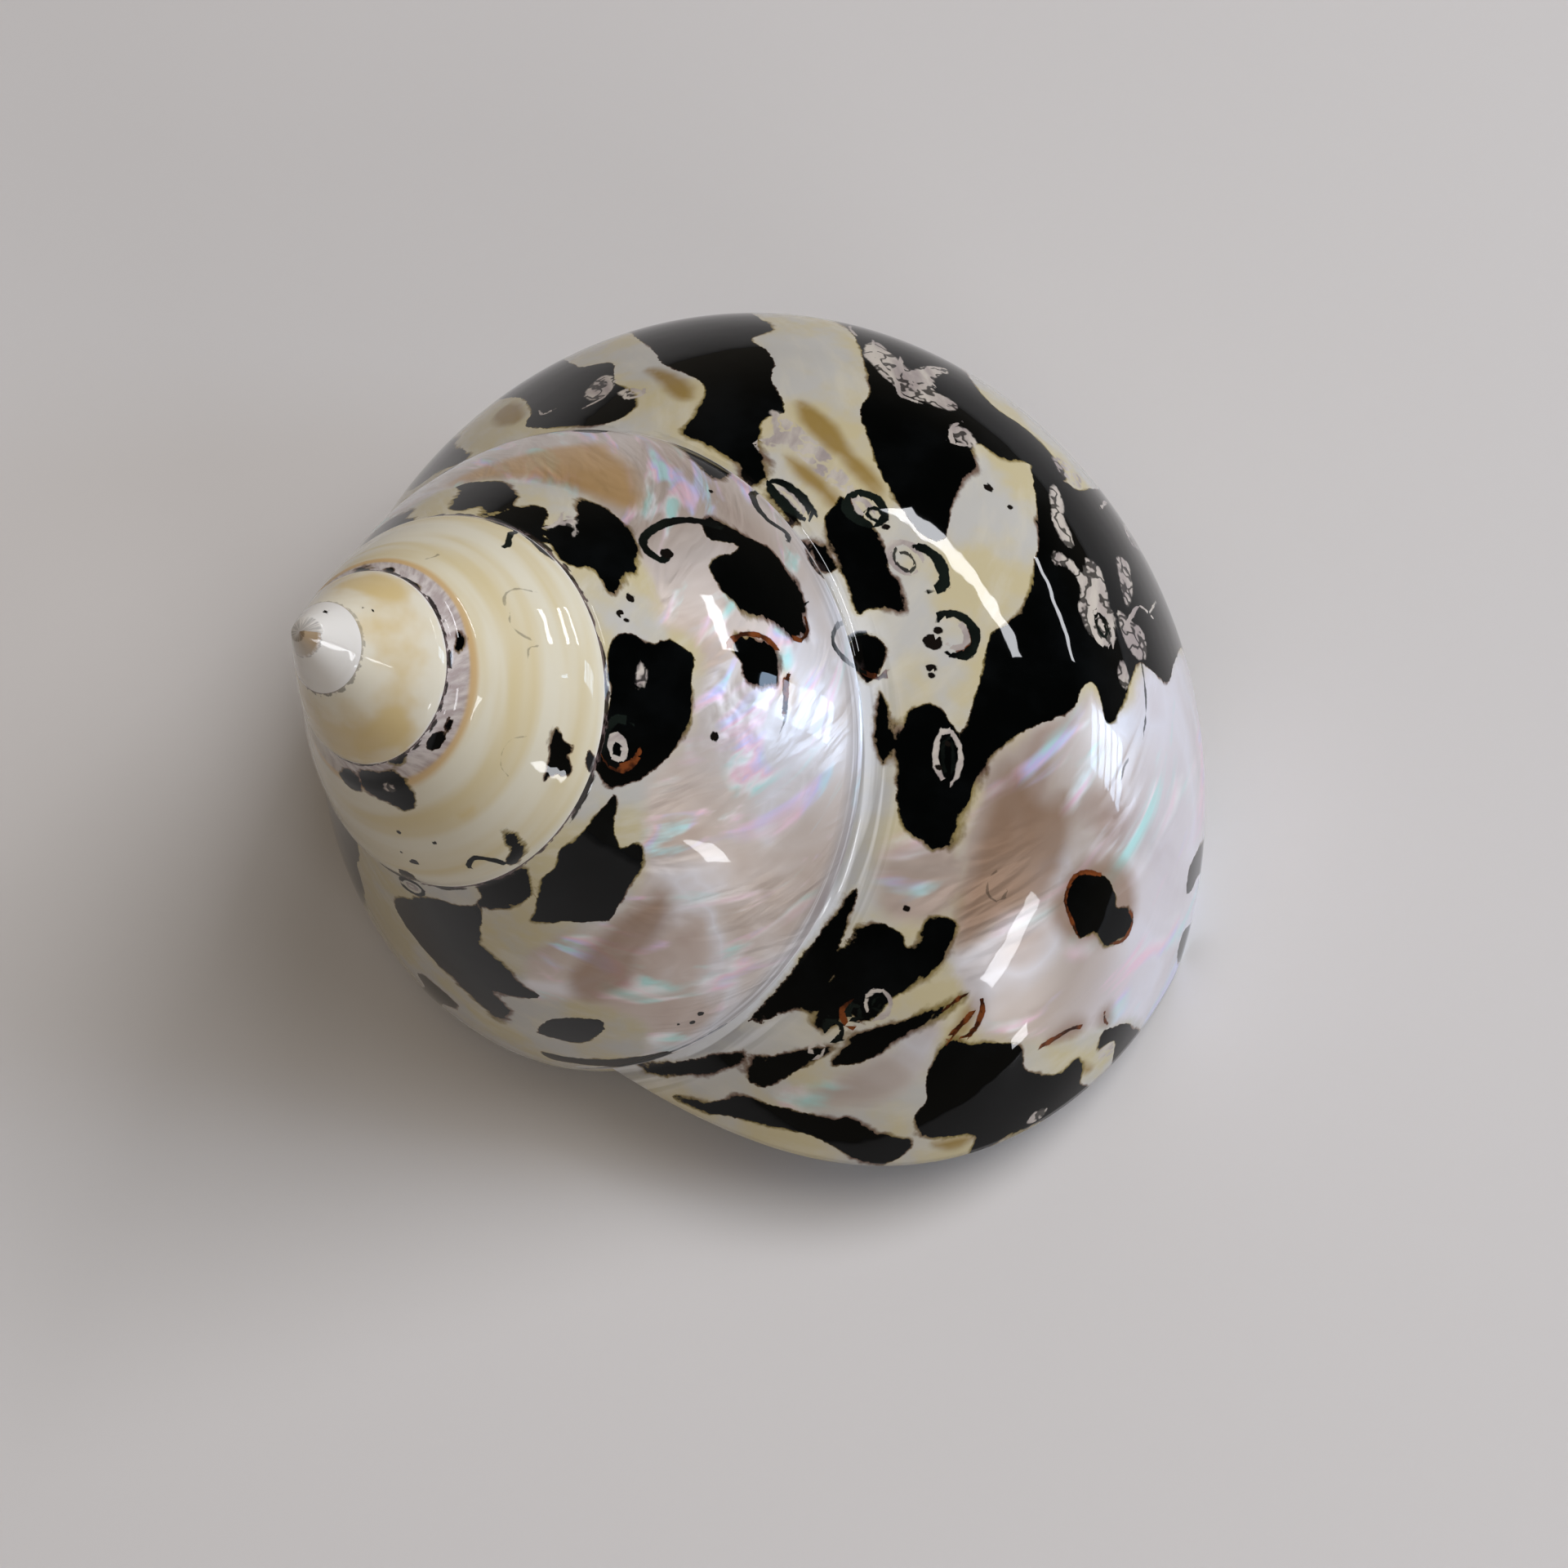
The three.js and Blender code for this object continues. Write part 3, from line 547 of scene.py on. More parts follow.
DOTS = {
    "hook_end": (2.891, .405, .42),
    "pearl_dot": (3.016, .4, .3),
    "dash": (3.163, .855, .25),
    "dash_2": (3.17, .87, .2),
    "dash_3": (3.176, .84, .14),
    "speck": (2.934, .125, .3),
    "speck_2": (2.921, .185, .32),
    "speck_3": (2.94, .14, .22),
    "cream_dot": (3.896, .41, .28),
    "cream_dot_2": (3.905, .43, .3),
    "ring_dot": (3.965, .122, .3),
    "ring_dot_2": (3.968, .12, .2),
    "ring_heart": (3.954, .135, .55),
    "ring_heart_2": (3.949, .15, .3),
    "glint_dot": (4.065, .115, .2),
    "young_dot": (2.265, .72, .25),
    "young_dot_2": (2.262, .495, .2),
    "young_dot_3": (2.226, .585, .15),
    "young_dot_4": (2.274, .65, .12),
    "young_dot_5": (.87, .2, .08),
    "young_dot_6": (.89, .29, .08),
    "nucleus_pit": (-.18, .5, .12),
    "suture_dot": (3.9, .145, .2),
    "far_dot": (2.853, .76, .25),
    "lobe_dot": (4.006, .12, .2),
    "lobe_dot_2": (3.996, .137, .2),
}
LINE_REACH, OUTLINE_REACH, FAR_FROM_SUTURE = 2.0, 3.0, 9.0
NO_WIDTH, SMALLEST_RADIUS = 0.01, 0.02
CURVE_STEPS, STEPS_PER_WIND = 6, 24
TAPER_STEPS, TAPER_END = 3, 0.25
HIDDEN_TURNS = ((3.41, 3.45, 3.55, 3.58), (2.42, 2.46, 2.58, 2.63))
HIDDEN_ACROSS = (1.02, 1.1)
COVER_MARGIN = 0.02


def lengths_on_shell(turn, across):
    """Millimetres on the shell per whole turn and per whole step across, at a place."""
    radius, _ = whorl(turn, across)
    top, end = suture(turn), suture(turn + 1)
    per_turn = 2000 * np.pi * SUTURE_RADIUS * np.maximum(radius, SMALLEST_RADIUS)
    return per_turn, 1000 * SUTURE_RADIUS * np.hypot(end[0] - top[0], end[1] - top[1])


def spiral(middle, radius, winds, start, pitch):
    """Points round a middle, the radii along and across the whorl shrinking by the pitch with every wind."""
    angle = np.radians(start) + np.linspace(0, 2 * np.pi * winds, int(STEPS_PER_WIND * winds) + 4)
    inwards = pitch * (angle - angle[0]) / (2 * np.pi)
    lengths = np.stack(lengths_on_shell(np.array(middle[0]), np.array(middle[1])))
    around = np.stack([np.cos(angle), np.sin(angle)], 1)
    return np.array(middle) + (np.array(radius) - inwards[:, None]) * around / lengths


def catmull_rom(before, first, after, last):
    """Stretches from first to after: each is the cubic that leaves a corner along the line between its two
    neighbours."""
    share = np.linspace(0, 1, CURVE_STEPS, endpoint=False)[:, None, None]
    curve = 0.5 * (2 * first + (after - before) * share
                   + (2 * before - 5 * first + 4 * after - last) * share**2
                   + (3 * first - before - 3 * after + last) * share**3)
    return curve.transpose(1, 0, 2).reshape(-1, 2)


def smooth_line(corners):
    """An open curve through the corners, ending straight."""
    corners = np.array(corners, float)
    ends = np.concatenate([[2 * corners[0] - corners[1]], corners, [2 * corners[-1] - corners[-2]]])
    return np.concatenate([catmull_rom(ends[:-3], ends[1:-2], ends[2:-1], ends[3:]), corners[-1:]])


def line_marks(lines, turn, across):
    """For every corner of every face, the signed millimetres to the side of the face's nearest line and the
    line's half width there. One line serves a whole face, so a line thinner than a face stays sharp."""
    side = np.full(turn.shape, LINE_REACH)
    width = np.full(turn.shape, NO_WIDTH)
    nearest = np.full(len(turn), LINE_REACH)
    middle_t, middle_a = turn.mean(1), across.mean(1)
    per_turn, per_across = lengths_on_shell(middle_t, middle_a)
    for half_width, line in lines:
        start, end = line[:-1], line[1:]
        steps = np.arange(len(start))
        taper = np.sqrt(np.clip(np.minimum(steps, steps[::-1]) / TAPER_STEPS + TAPER_END, 0, 1))
        near = np.abs(middle_t - line[:, 0].mean()) < np.ptp(line[:, 0]) / 2 + LINE_REACH / per_turn
        near &= np.abs(middle_a - line[:, 1].mean()) < np.ptp(line[:, 1]) / 2 + LINE_REACH / per_across
        near = np.flatnonzero(near)
        if not len(near):
            continue
        scale_t, scale_a = per_turn[near, None], per_across[near, None]
        step_t, step_a = (end - start)[:, 0] * scale_t, (end - start)[:, 1] * scale_a
        off_t = (middle_t[near, None] - start[:, 0]) * scale_t
        off_a = (middle_a[near, None] - start[:, 1]) * scale_a
        length = np.hypot(step_t, step_a) + TOLERANCE
        along = np.clip((off_t * step_t + off_a * step_a) / length**2, 0, 1)
        gap = np.hypot(off_t - along * step_t, off_a - along * step_a)
        pick = gap.argmin(1)
        gap = gap[np.arange(len(near)), pick]
        closer = gap < nearest[near]
        near, pick = near[closer], pick[closer]
        nearest[near] = gap[closer]
        row = np.flatnonzero(closer)
        ahead_t, ahead_a = (step_t / length)[row, pick][:, None], (step_a / length)[row, pick][:, None]
        corner_t = (turn[near] - start[pick, 0][:, None]) * per_turn[near, None]
        corner_a = (across[near] - start[pick, 1][:, None]) * per_across[near, None]
        ahead = corner_t * ahead_t + corner_a * ahead_a
        past = np.maximum(np.maximum(-ahead, ahead - length[row, pick][:, None]), 0)
        at_end = (pick == 0) | (pick == len(start) - 1)
        side[near] = corner_a * ahead_t - corner_t * ahead_a
        width[near] = half_width * taper[pick][:, None] - np.where(at_end[:, None], past, 0)
    return side, width


def dot_marks(dots, turn, across):
    """For every corner of every face, the millimetres along and across from the face's nearest dot, and the
    dot's radius."""
    offset = np.full(turn.shape + (2,), LINE_REACH)
    size = np.full(turn.shape, NO_WIDTH)
    nearest = np.full(len(turn), LINE_REACH)
    middle_t, middle_a = turn.mean(1), across.mean(1)
    per_turn, per_across = lengths_on_shell(middle_t, middle_a)
    for dot_turn, dot_across, radius in dots.values():
        gap = np.hypot((middle_t - dot_turn) * per_turn, (middle_a - dot_across) * per_across)
        near = np.flatnonzero(gap < nearest)
        nearest[near] = gap[near]
        offset[near, :, 0] = (turn[near] - dot_turn) * per_turn[near, None]
        offset[near, :, 1] = (across[near] - dot_across) * per_across[near, None]
        size[near] = radius
    return offset, size


def smooth_outline(corners):
    """A closed curve through the corners."""
    corners = np.array(corners, float)
    return catmull_rom(*(np.roll(corners, shift, 0) for shift in (1, 0, -1, -2)))


def outline_distance(outlines, turn, across):
    """Millimetres from each place to the nearest outline, negative inside, cut off at the reach. A place's
    own millimetres per turn and per across turn the outline's steps into lengths on the shell."""
    per_turn, per_across = lengths_on_shell(turn, across)
    distance = np.full(turn.shape, OUTLINE_REACH)
    for corners in outlines.values():
        start = smooth_outline(corners)
        end = np.roll(start, -1, 0)
        near = np.abs(turn - start[:, 0].mean()) * per_turn < np.ptp(start[:, 0]) * per_turn + OUTLINE_REACH
        near &= np.abs(across - start[:, 1].mean()) < np.ptp(start[:, 1]) + OUTLINE_REACH / per_across
        t, a = turn[near, None], across[near, None]
        scale_t, scale_a = per_turn[near, None], per_across[near, None]
        step_t, step_a = (end - start)[:, 0] * scale_t, (end - start)[:, 1] * scale_a
        off_t, off_a = (t - start[:, 0]) * scale_t, (a - start[:, 1]) * scale_a
        along = np.clip((off_t * step_t + off_a * step_a) / (step_t**2 + step_a**2 + 1e-12), 0, 1)
        gap = np.hypot(off_t - along * step_t, off_a - along * step_a).min(1)
        crosses = (start[:, 1] > a) != (end[:, 1] > a)
        rise = np.where(end[:, 1] == start[:, 1], 1, end[:, 1] - start[:, 1])
        ahead = t < start[:, 0] + (a - start[:, 1]) / rise * (end[:, 0] - start[:, 0])
        within = (crosses & ahead).sum(1) % 2 == 1
        distance[near] = np.minimum(distance[near], np.where(within, -gap, gap))
    return np.clip(distance, -OUTLINE_REACH, OUTLINE_REACH)


outside = inside == 0
layers = {"black": BLACK, "pale": PALE, "pearl": PEARL, "stain": STAIN}
marks = {}
for name, outlines in layers.items():
    marks[name] = np.full(len(points), OUTLINE_REACH)
    marks[name][outside] = outline_distance(outlines, turns[outside], acrosses[outside])
unseen = smooth(acrosses, *HIDDEN_ACROSS)
for start, full, fade, end in HIDDEN_TURNS:
    unseen = np.maximum(unseen, smooth(turns, start, full) * (1 - smooth(turns, fade, end)))
marks["unseen"] = unseen * outside
marks["turn"] = turns
marks["across"] = acrosses
marks["inside"] = inside
whole_mm = lengths_on_shell(turns, acrosses)[1]
side_mm = acrosses * whole_mm
covered = outside & (turns < BODY_START + COVER_MARGIN) & (acrosses <= 1)
marks["below_suture"] = np.where(outside, side_mm, FAR_FROM_SUTURE)
marks["above_suture"] = np.where(covered, whole_mm - side_mm, FAR_FROM_SUTURE)

outer_faces = faces[outside[faces].all(1)]
face_turns, face_acrosses = turns[outer_faces], acrosses[outer_faces]
face_marks = {}
for name, lines, rings in (("dark", DARK_LINES, DARK_RINGS), ("light", PALE_LINES, PALE_RINGS),
                           ("rust", RUST_LINES, RUST_RINGS)):
    drawn = [(half_width, smooth_line(line)) for half_width, line in lines.values()]
    drawn += [(half_width, spiral(*ring)) for half_width, *ring in rings.values()]
    face_marks[name + "_line"], face_marks[name + "_width"] = line_marks(drawn, face_turns, face_acrosses)
dot_offset, face_marks["dot_size"] = dot_marks(DOTS, face_turns, face_acrosses)
face_marks["dot_x"], face_marks["dot_y"] = dot_offset[..., 0], dot_offset[..., 1]


# Mesh: the sheets are welded where they meet, and cells that shrink to nothing at the tip lose a corner.
# The markings ride on the corners of the faces, so they stay sharp where two sheets meet.
WELD = 2e-7


def build_mesh():
    """Merges places that coincide, drops doubled corners and keeps every sheet's own markings per corner."""
    _, first, index = np.unique(np.round(points / WELD).astype(np.int64), axis=0, return_index=True,
                                return_inverse=True)
    index = index.ravel()
    welded = index[faces]
    doubled = welded == np.roll(welded, -1, 1)
    is_whole, is_pinched = ~doubled.any(1), doubled.sum(1) == 1
    whole, pinched, gone = faces[is_whole], faces[is_pinched], doubled[is_pinched]
    triangles = pinched[~gone].reshape(-1, 3)
    corners = np.concatenate([whole.ravel(), triangles.ravel()])
    sizes = np.concatenate([np.full(len(whole), 4), np.full(len(triangles), 3)])
    mesh = bpy.data.meshes.new("shell_skin")
    mesh.vertices.add(len(first))
    mesh.vertices.foreach_set("co", points[first].astype(np.float32).ravel())
    mesh.loops.add(len(corners))
    mesh.loops.foreach_set("vertex_index", index[corners].astype(np.int32))
    mesh.polygons.add(len(sizes))
    mesh.polygons.foreach_set("loop_start", (np.cumsum(sizes) - sizes).astype(np.int32))
    mesh.update(calc_edges=True)
    for name, values in marks.items():
        attribute = mesh.attributes.new(name, "FLOAT", "CORNER")
        attribute.data.foreach_set("value", values[corners].astype(np.float32))
    for name, values in face_marks.items():
        spread = np.full(faces.shape, NO_WIDTH if name.endswith(("width", "size")) else LINE_REACH)
        spread[outside[faces].all(1)] = values
        spread = np.concatenate([spread[is_whole].ravel(), spread[is_pinched][~gone].ravel()])
        attribute = mesh.attributes.new(name, "FLOAT", "CORNER")
        attribute.data.foreach_set("value", spread.astype(np.float32))
    mesh.polygons.foreach_set("use_smooth", np.ones(len(sizes), bool))
    mesh.validate()
    return mesh


shell_mesh = build_mesh()
shell = bpy.data.objects.new("shell_skin", shell_mesh)
bpy.context.scene.collection.objects.link(shell)
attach(shell, "root")
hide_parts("shell")


# Finish: the outer layer's black, cream and ochre over pearl, under one even polish. Each layer of colour
# is laid over the one before it by a share between nought and one.
class Graph:
    """Adds shader nodes by name and joins a socket or sets a number, so that a formula reads as one line."""

    def __init__(self, material):
        material.use_nodes = True
        self.tree = material.node_tree
        self.shader = self.tree.nodes["Principled BSDF"]

    def node(self, kind, inputs=(), **settings):
        """A new node with its inputs joined or set."""
        made = self.tree.nodes.new(kind)
        for key, value in settings.items():
            setattr(made, key, value)
        for key, value in dict(inputs).items():
            self.put(made.inputs[key], value)
        return made

    def put(self, socket, value):
        """Joins a socket to another, or sets its number."""
        if isinstance(value, bpy.types.NodeSocket):
            self.tree.links.new(value, socket)
        else:
            socket.default_value = value

    def math(self, operation, first, second=0.0, third=0.0):
        """One sum, product or other operation of up to three values."""
        return self.node("ShaderNodeMath", {0: first, 1: second, 2: third}, operation=operation).outputs[0]

    def attribute(self, name):
        """A marking's number at this place of the mesh."""
        return self.node("ShaderNodeAttribute", attribute_name=name).outputs["Fac"]

    def noise(self, vector, scale, detail=4.0, roughness=0.55, distortion=0.0):
        """Cloudy noise about a half, with scale waves per unit of the vector."""
        made = self.node("ShaderNodeTexNoise", {"Vector": vector, "Scale": scale, "Detail": detail,
                                                "Roughness": roughness, "Distortion": distortion})
        return made.outputs["Fac"]

    def pair(self, first, first_scale, second, second_scale):
        """A flat place made of two values, each times its scale."""
        made = self.node("ShaderNodeCombineXYZ", {"X": self.math("MULTIPLY", first, first_scale),
                                                  "Y": self.math("MULTIPLY", second, second_scale)})
        return made.outputs[0]

    def hues(self, value, stops):
        """The colour between the two stops that the value lies between."""
        made = self.node("ShaderNodeValToRGB", {"Fac": value})
        elements = made.color_ramp.elements
        while len(elements) < len(stops):
            elements.new(0.5)
        for element, (place, shade) in zip(elements, stops):
            element.position = place
            element.color = colour(*shade)
        return made.outputs["Color"]

    def ramp(self, value, low, high, start=0.0, end=1.0):
        """From start to end by the cubic 3x^2 - 2x^3, as the value goes from low to high."""
        made = self.node("ShaderNodeMapRange", {"Value": value, "From Min": low, "From Max": high,
                                                "To Min": start, "To Max": end},
                         interpolation_type="SMOOTHSTEP")
        return made.outputs["Result"]

    def mix(self, share, first, second):
        """The first colour where the share is nought, and the second where it is one."""
        made = self.node("ShaderNodeMix", {0: share, 6: first, 7: second}, data_type="RGBA")
        return made.outputs[2]


def colour(red, green, blue):
    """A screen colour of 0 to 255 as the linear colour that the shader mixes."""
    screen = np.array([red, green, blue]) / 255
    linear = np.where(screen <= 0.04045, screen / 12.92, ((screen + 0.055) / 1.055) ** 2.4)
    return (*linear.tolist(), 1.0)


LILAC_CREAM = colour(181, 177, 170)
STRAW_CREAM = colour(187, 174, 139)
PALE_CREAM = colour(198, 191, 173)
YOUNG_WHITE = colour(209, 201, 180)
YOUNG_STRAW = colour(198, 180, 136)
FIRST_WHITE = colour(211, 203, 184)
FIRST_STRAW = colour(196, 172, 121)
TIP_WHITE = colour(214, 209, 202)
PIT_OCHRE = colour(132, 104, 62)
CHANNEL_GREY = colour(164, 150, 146)
CHANNEL_WHITE = colour(198, 188, 182)
SHOULDER_SHADE = colour(190, 150, 92)
SILVER_AND_REFLECTION = colour(228, 226, 236)
STRAW_STAIN = colour(198, 174, 122)
OCHRE_STAIN = colour(132, 101, 24)
PEACH_STAIN = colour(186, 144, 80)
TAN_STAIN = colour(146, 116, 92)
RIM_BROWN = colour(86, 52, 30)
RIM_OLIVE = colour(116, 98, 44)
FLAME_BLACK = colour(1, 2, 2)
FLAME_SLATE = colour(9, 11, 12)
SCAR_GREY = colour(150, 138, 134)
SCAR_WHITE = colour(190, 180, 168)
RUST_DARK = colour(52, 25, 13)
RUST_LIGHT = colour(112, 58, 27)
TRACK_BLACK = colour(5, 6, 6)
TRACK_GREEN = colour(20, 26, 22)
DOT_BROWN = colour(20, 16, 13)
SEAM_GREY = colour(96, 80, 78)
SEAM_BLACK = colour(24, 17, 14)
SEAM_GLINT = colour(214, 208, 204)
STREAK_GREY = colour(146, 147, 153)
STREAK_WHITE = colour(220, 222, 228)
INSIDE_CREAM = colour(214, 206, 198)
INSIDE_MINT = colour(196, 202, 200)
FINE_WAVES, MIDDLING_WAVES, LACE_WAVES = 2600.0, 900.0, 620.0
RIPPLE_WAVES, BROAD_WAVES, CLOUD_WAVES, PEARL_WAVES = 220.0, 160.0, 130.0, 70.0
PIT_TURNS, TIP_TURNS, FIRST_TURNS, LAST_TURNS = (-0.55, -0.95), (0.25, 0.8), (1.2, 1.6), (2.42, 2.62)

polish = bpy.data.materials.new("polished_shell")
g = Graph(polish)
here = g.node("ShaderNodeTexCoord").outputs["Object"]
turn, across = g.attribute("turn"), g.attribute("across")
grown = g.math("MULTIPLY_ADD", across, LIP_SWEEP, turn)
along = g.pair(grown, 24.0, across, 2.2)
growth = g.noise(along, 3.0, 5.0)
fine = g.math("SUBTRACT", g.noise(here, FINE_WAVES, 3.0), 0.5)
middling = g.math("SUBTRACT", g.noise(here, MIDDLING_WAVES, 3.0), 0.5)
broad = g.noise(here, BROAD_WAVES, 3.0)
teeth = g.math("SUBTRACT", g.noise(g.pair(grown, 40.0, across, 20.0), 1.0, 3.0), 0.5)
teeth = g.math("MULTIPLY", teeth, g.ramp(broad, 0.46, 0.66, 0.3, 1.9))
ragged = g.math("ADD", g.math("MULTIPLY_ADD", fine, 0.28, g.math("MULTIPLY", middling, 0.3)), teeth)

# Outer layer: cream with lilac and straw clouds on the last whorls, banded straw and white on the young
# ones, white at the tip with a small ochre pit
clouds = g.noise(here, CLOUD_WAVES, 4.0)
cream = g.mix(g.ramp(clouds, 0.4, 0.6), LILAC_CREAM, STRAW_CREAM)
cream = g.mix(g.ramp(growth, 0.45, 0.75, 0.0, 0.6), cream, PALE_CREAM)
bands = g.noise(g.pair(turn, 4.0, across, 7.0), 0.8, 2.0, 0.45, 0.3)
young = g.mix(g.ramp(bands, 0.36, 0.72, 0.0, 0.85), YOUNG_WHITE, YOUNG_STRAW)
first = g.mix(g.ramp(clouds, 0.38, 0.6, 0.0, 0.85), FIRST_WHITE, FIRST_STRAW)
young = g.mix(g.ramp(turn, *FIRST_TURNS), first, young)
tip = g.mix(g.ramp(turn, *TIP_TURNS), TIP_WHITE, young)
tip = g.mix(g.ramp(turn, *PIT_TURNS, 0.0, 0.85), tip, PIT_OCHRE)
base = g.mix(g.ramp(turn, *LAST_TURNS), tip, cream)
step_edge = g.math("MULTIPLY_ADD", g.math("SUBTRACT", bands, 0.5), 0.12, across)
middle_turns = g.math("MULTIPLY", g.ramp(turn, 1.4, 1.6), g.ramp(turn, 2.45, 2.3))
channel = g.math("MULTIPLY", g.ramp(step_edge, 0.185, 0.165), middle_turns)
base = g.mix(channel, base, g.mix(g.ramp(growth, 0.35, 0.65), CHANNEL_GREY, CHANNEL_WHITE))
# A tan line of painted shade along the step of the shoulder below the channel
shoulder = g.math("MULTIPLY", g.ramp(step_edge, 0.16, 0.18), g.ramp(step_edge, 0.23, 0.19))
base = g.mix(g.math("MULTIPLY", shoulder, g.math("MULTIPLY", middle_turns, 0.7)), base, SHOULDER_SHADE)

# Pearl: pink-beige clouds, and low on the last whorl a bluish silver that is partly its own tone and partly
# # painted reflection of the window; patches of painted iridescent sheen in mint, rose and lilac in places
pearl_hue = g.hues(g.noise(here, PEARL_WAVES, 3.0, 0.45, 0.8), [
    (0.28, (158, 132, 116)), (0.40, (188, 172, 160)), (0.50, (202, 190, 182)), (0.58, (214, 209, 210)),
    (0.66, (194, 178, 168)), (0.78, (164, 138, 122))])
painted_sheen_hue = g.hues(g.noise(along, 0.9, 3.0, 0.5, 1.5), [
    (0.36, (178, 226, 220)), (0.44, (238, 236, 236)), (0.50, (242, 200, 216)), (0.56, (208, 200, 242)),
    (0.63, (184, 228, 230))])
# A bluish silver low on the last whorl: partly the pearl's own tone, partly painted reflection of the window
silver_and_reflection = g.math("MULTIPLY", g.ramp(across, 0.45, 0.75, 0.0, 0.6), g.ramp(turn, 3.9, 3.97))
pearl_tone = g.mix(silver_and_reflection, pearl_hue, SILVER_AND_REFLECTION)
# Patches of painted iridescent sheen, in the hues above
painted_sheen = g.ramp(g.noise(along, 1.4, 3.0, 0.5, 0.8), 0.5, 0.66, 0.0, 0.8)
pearl_tone = g.mix(painted_sheen, pearl_tone, painted_sheen_hue)
pearl_soft = g.math("MULTIPLY_ADD", g.math("SUBTRACT", clouds, 0.5), 2.0, g.attribute("pearl"))
pearl_share = g.ramp(g.math("ADD", pearl_soft, ragged), 0.6, -0.8)
base = g.mix(pearl_share, base, pearl_tone)

# Stains: ochre and tan, soft at their edges
stain_soft = g.math("MULTIPLY_ADD", g.math("SUBTRACT", broad, 0.5), 1.8, g.attribute("stain"))
stain_edge = g.ramp(pearl_share, 0.0, 1.0, 0.45, 0.9)
stain_share = g.ramp(g.math("DIVIDE", stain_soft, stain_edge), 1.0, -1.0, 0.0, 0.82)
outer_stain = g.mix(g.ramp(turn, 2.3, 2.6), STRAW_STAIN, OCHRE_STAIN)
pearl_stain = g.mix(g.ramp(turn, 3.0, 3.08), PEACH_STAIN, TAN_STAIN)
stain_tone = g.mix(pearl_share, outer_stain, pearl_stain)
base = g.mix(stain_share, base, stain_tone)

# Dark flames with a thin brown or olive rim; out of sight they follow the growth lines at random
flames = g.noise(along, 0.55, 4.0, 0.6, 0.8)
hidden_edge = g.ramp(flames, 0.42, 0.58, -2.5, 2.5)
hidden_edge = g.math("ADD", hidden_edge, g.ramp(across, 1.75, 1.95, 0.0, 4.0))
unseen = g.attribute("unseen")
seen_edge = g.math("MULTIPLY", g.attribute("black"), g.math("SUBTRACT", 1.0, unseen))
black_edge = g.math("MULTIPLY_ADD", ragged, g.ramp(unseen, 0.0, 1.0, 1.0, 0.45),
                    g.math("MULTIPLY_ADD", hidden_edge, unseen, seen_edge))
rim_width = g.ramp(broad, 0.4, 0.68, 0.03, 0.55)
rim_share = g.ramp(g.math("DIVIDE", black_edge, rim_width), 1.0, 0.1, 0.0, 0.85)
base = g.mix(rim_share, base, g.mix(g.ramp(clouds, 0.42, 0.58), RIM_BROWN, RIM_OLIVE))
black_tone = g.mix(g.ramp(clouds, 0.45, 0.75), FLAME_BLACK, FLAME_SLATE)
base = g.mix(g.ramp(black_edge, 0.06, -0.06), base, black_tone)
lace_noise = g.math("ABSOLUTE", g.math("SUBTRACT", g.noise(here, LACE_WAVES, 2.0), 0.5))
lace = g.ramp(lace_noise, 0.02, 0.05, 0.15, 1.0)
pale_tone = g.mix(g.ramp(growth, 0.35, 0.65), SCAR_GREY, SCAR_WHITE)
pale_share = g.ramp(g.math("ADD", g.attribute("pale"), ragged), 0.1, -0.14)
base = g.mix(g.math("MULTIPLY", pale_share, lace), base, pale_tone)


def line_share(name, wobble):
    """One on a line and nought beside it: the half width less the distance to its side, with a wobble. The
    thinnest lines are faint."""
    width = g.attribute(name + "_width")
    inside_line = g.math("SUBTRACT", g.math("MULTIPLY_ADD", wobble, 0.45, width),
                         g.math("ABSOLUTE", g.attribute(name + "_line")))
    return g.math("MULTIPLY", g.ramp(inside_line, -0.035, 0.045), g.ramp(width, 0.03, 0.12, 0.35, 1.0))


# Fine lines and dots
base = g.mix(line_share("light", middling), base, pale_tone)
rust_tone = g.mix(g.ramp(middling, -0.1, 0.1), RUST_DARK, RUST_LIGHT)
base = g.mix(line_share("rust", middling), base, rust_tone)
dark_tone = g.mix(g.ramp(clouds, 0.4, 0.6), TRACK_BLACK, TRACK_GREEN)
base = g.mix(line_share("dark", middling), base, dark_tone)
dot_x, dot_y = g.attribute("dot_x"), g.attribute("dot_y")
dot_gap = g.math("SQRT", g.math("MULTIPLY_ADD", dot_x, dot_x, g.math("MULTIPLY", dot_y, dot_y)))
dot_gap = g.math("SUBTRACT", g.math("ADD", dot_gap, ragged), g.attribute("dot_size"))
base = g.mix(g.ramp(dot_gap, 0.04, -0.05), base, DOT_BROWN)

# Sutures: a broken brown-black seam on the young whorls with a painted white glint along its upper edge;
# round
# # the last one the polish has left only grey and white streaks along the seam
above, below = g.attribute("above_suture"), g.attribute("below_suture")
seam_noise = g.noise(g.pair(turn, 40.0, below, 1.5), 1.0, 3.0)
seam_width = g.math("MULTIPLY", g.ramp(seam_noise, 0.35, 0.6, 0.0, 0.5), g.ramp(turn, 0.6, 1.6, 0.3, 1.0))
seam = g.ramp(g.math("SUBTRACT", g.math("MULTIPLY_ADD", middling, 0.3, below), seam_width), 0.08, -0.05)
seam = g.math("MULTIPLY", seam, g.ramp(turn, 3.2, 3.6, 0.95, 0.12))
seam = g.math("MULTIPLY", seam, g.ramp(turn, 0.9, 1.6, 0.4, 1.0))
base = g.mix(seam, base, g.mix(g.ramp(seam_noise, 0.48, 0.56), SEAM_GREY, SEAM_BLACK))
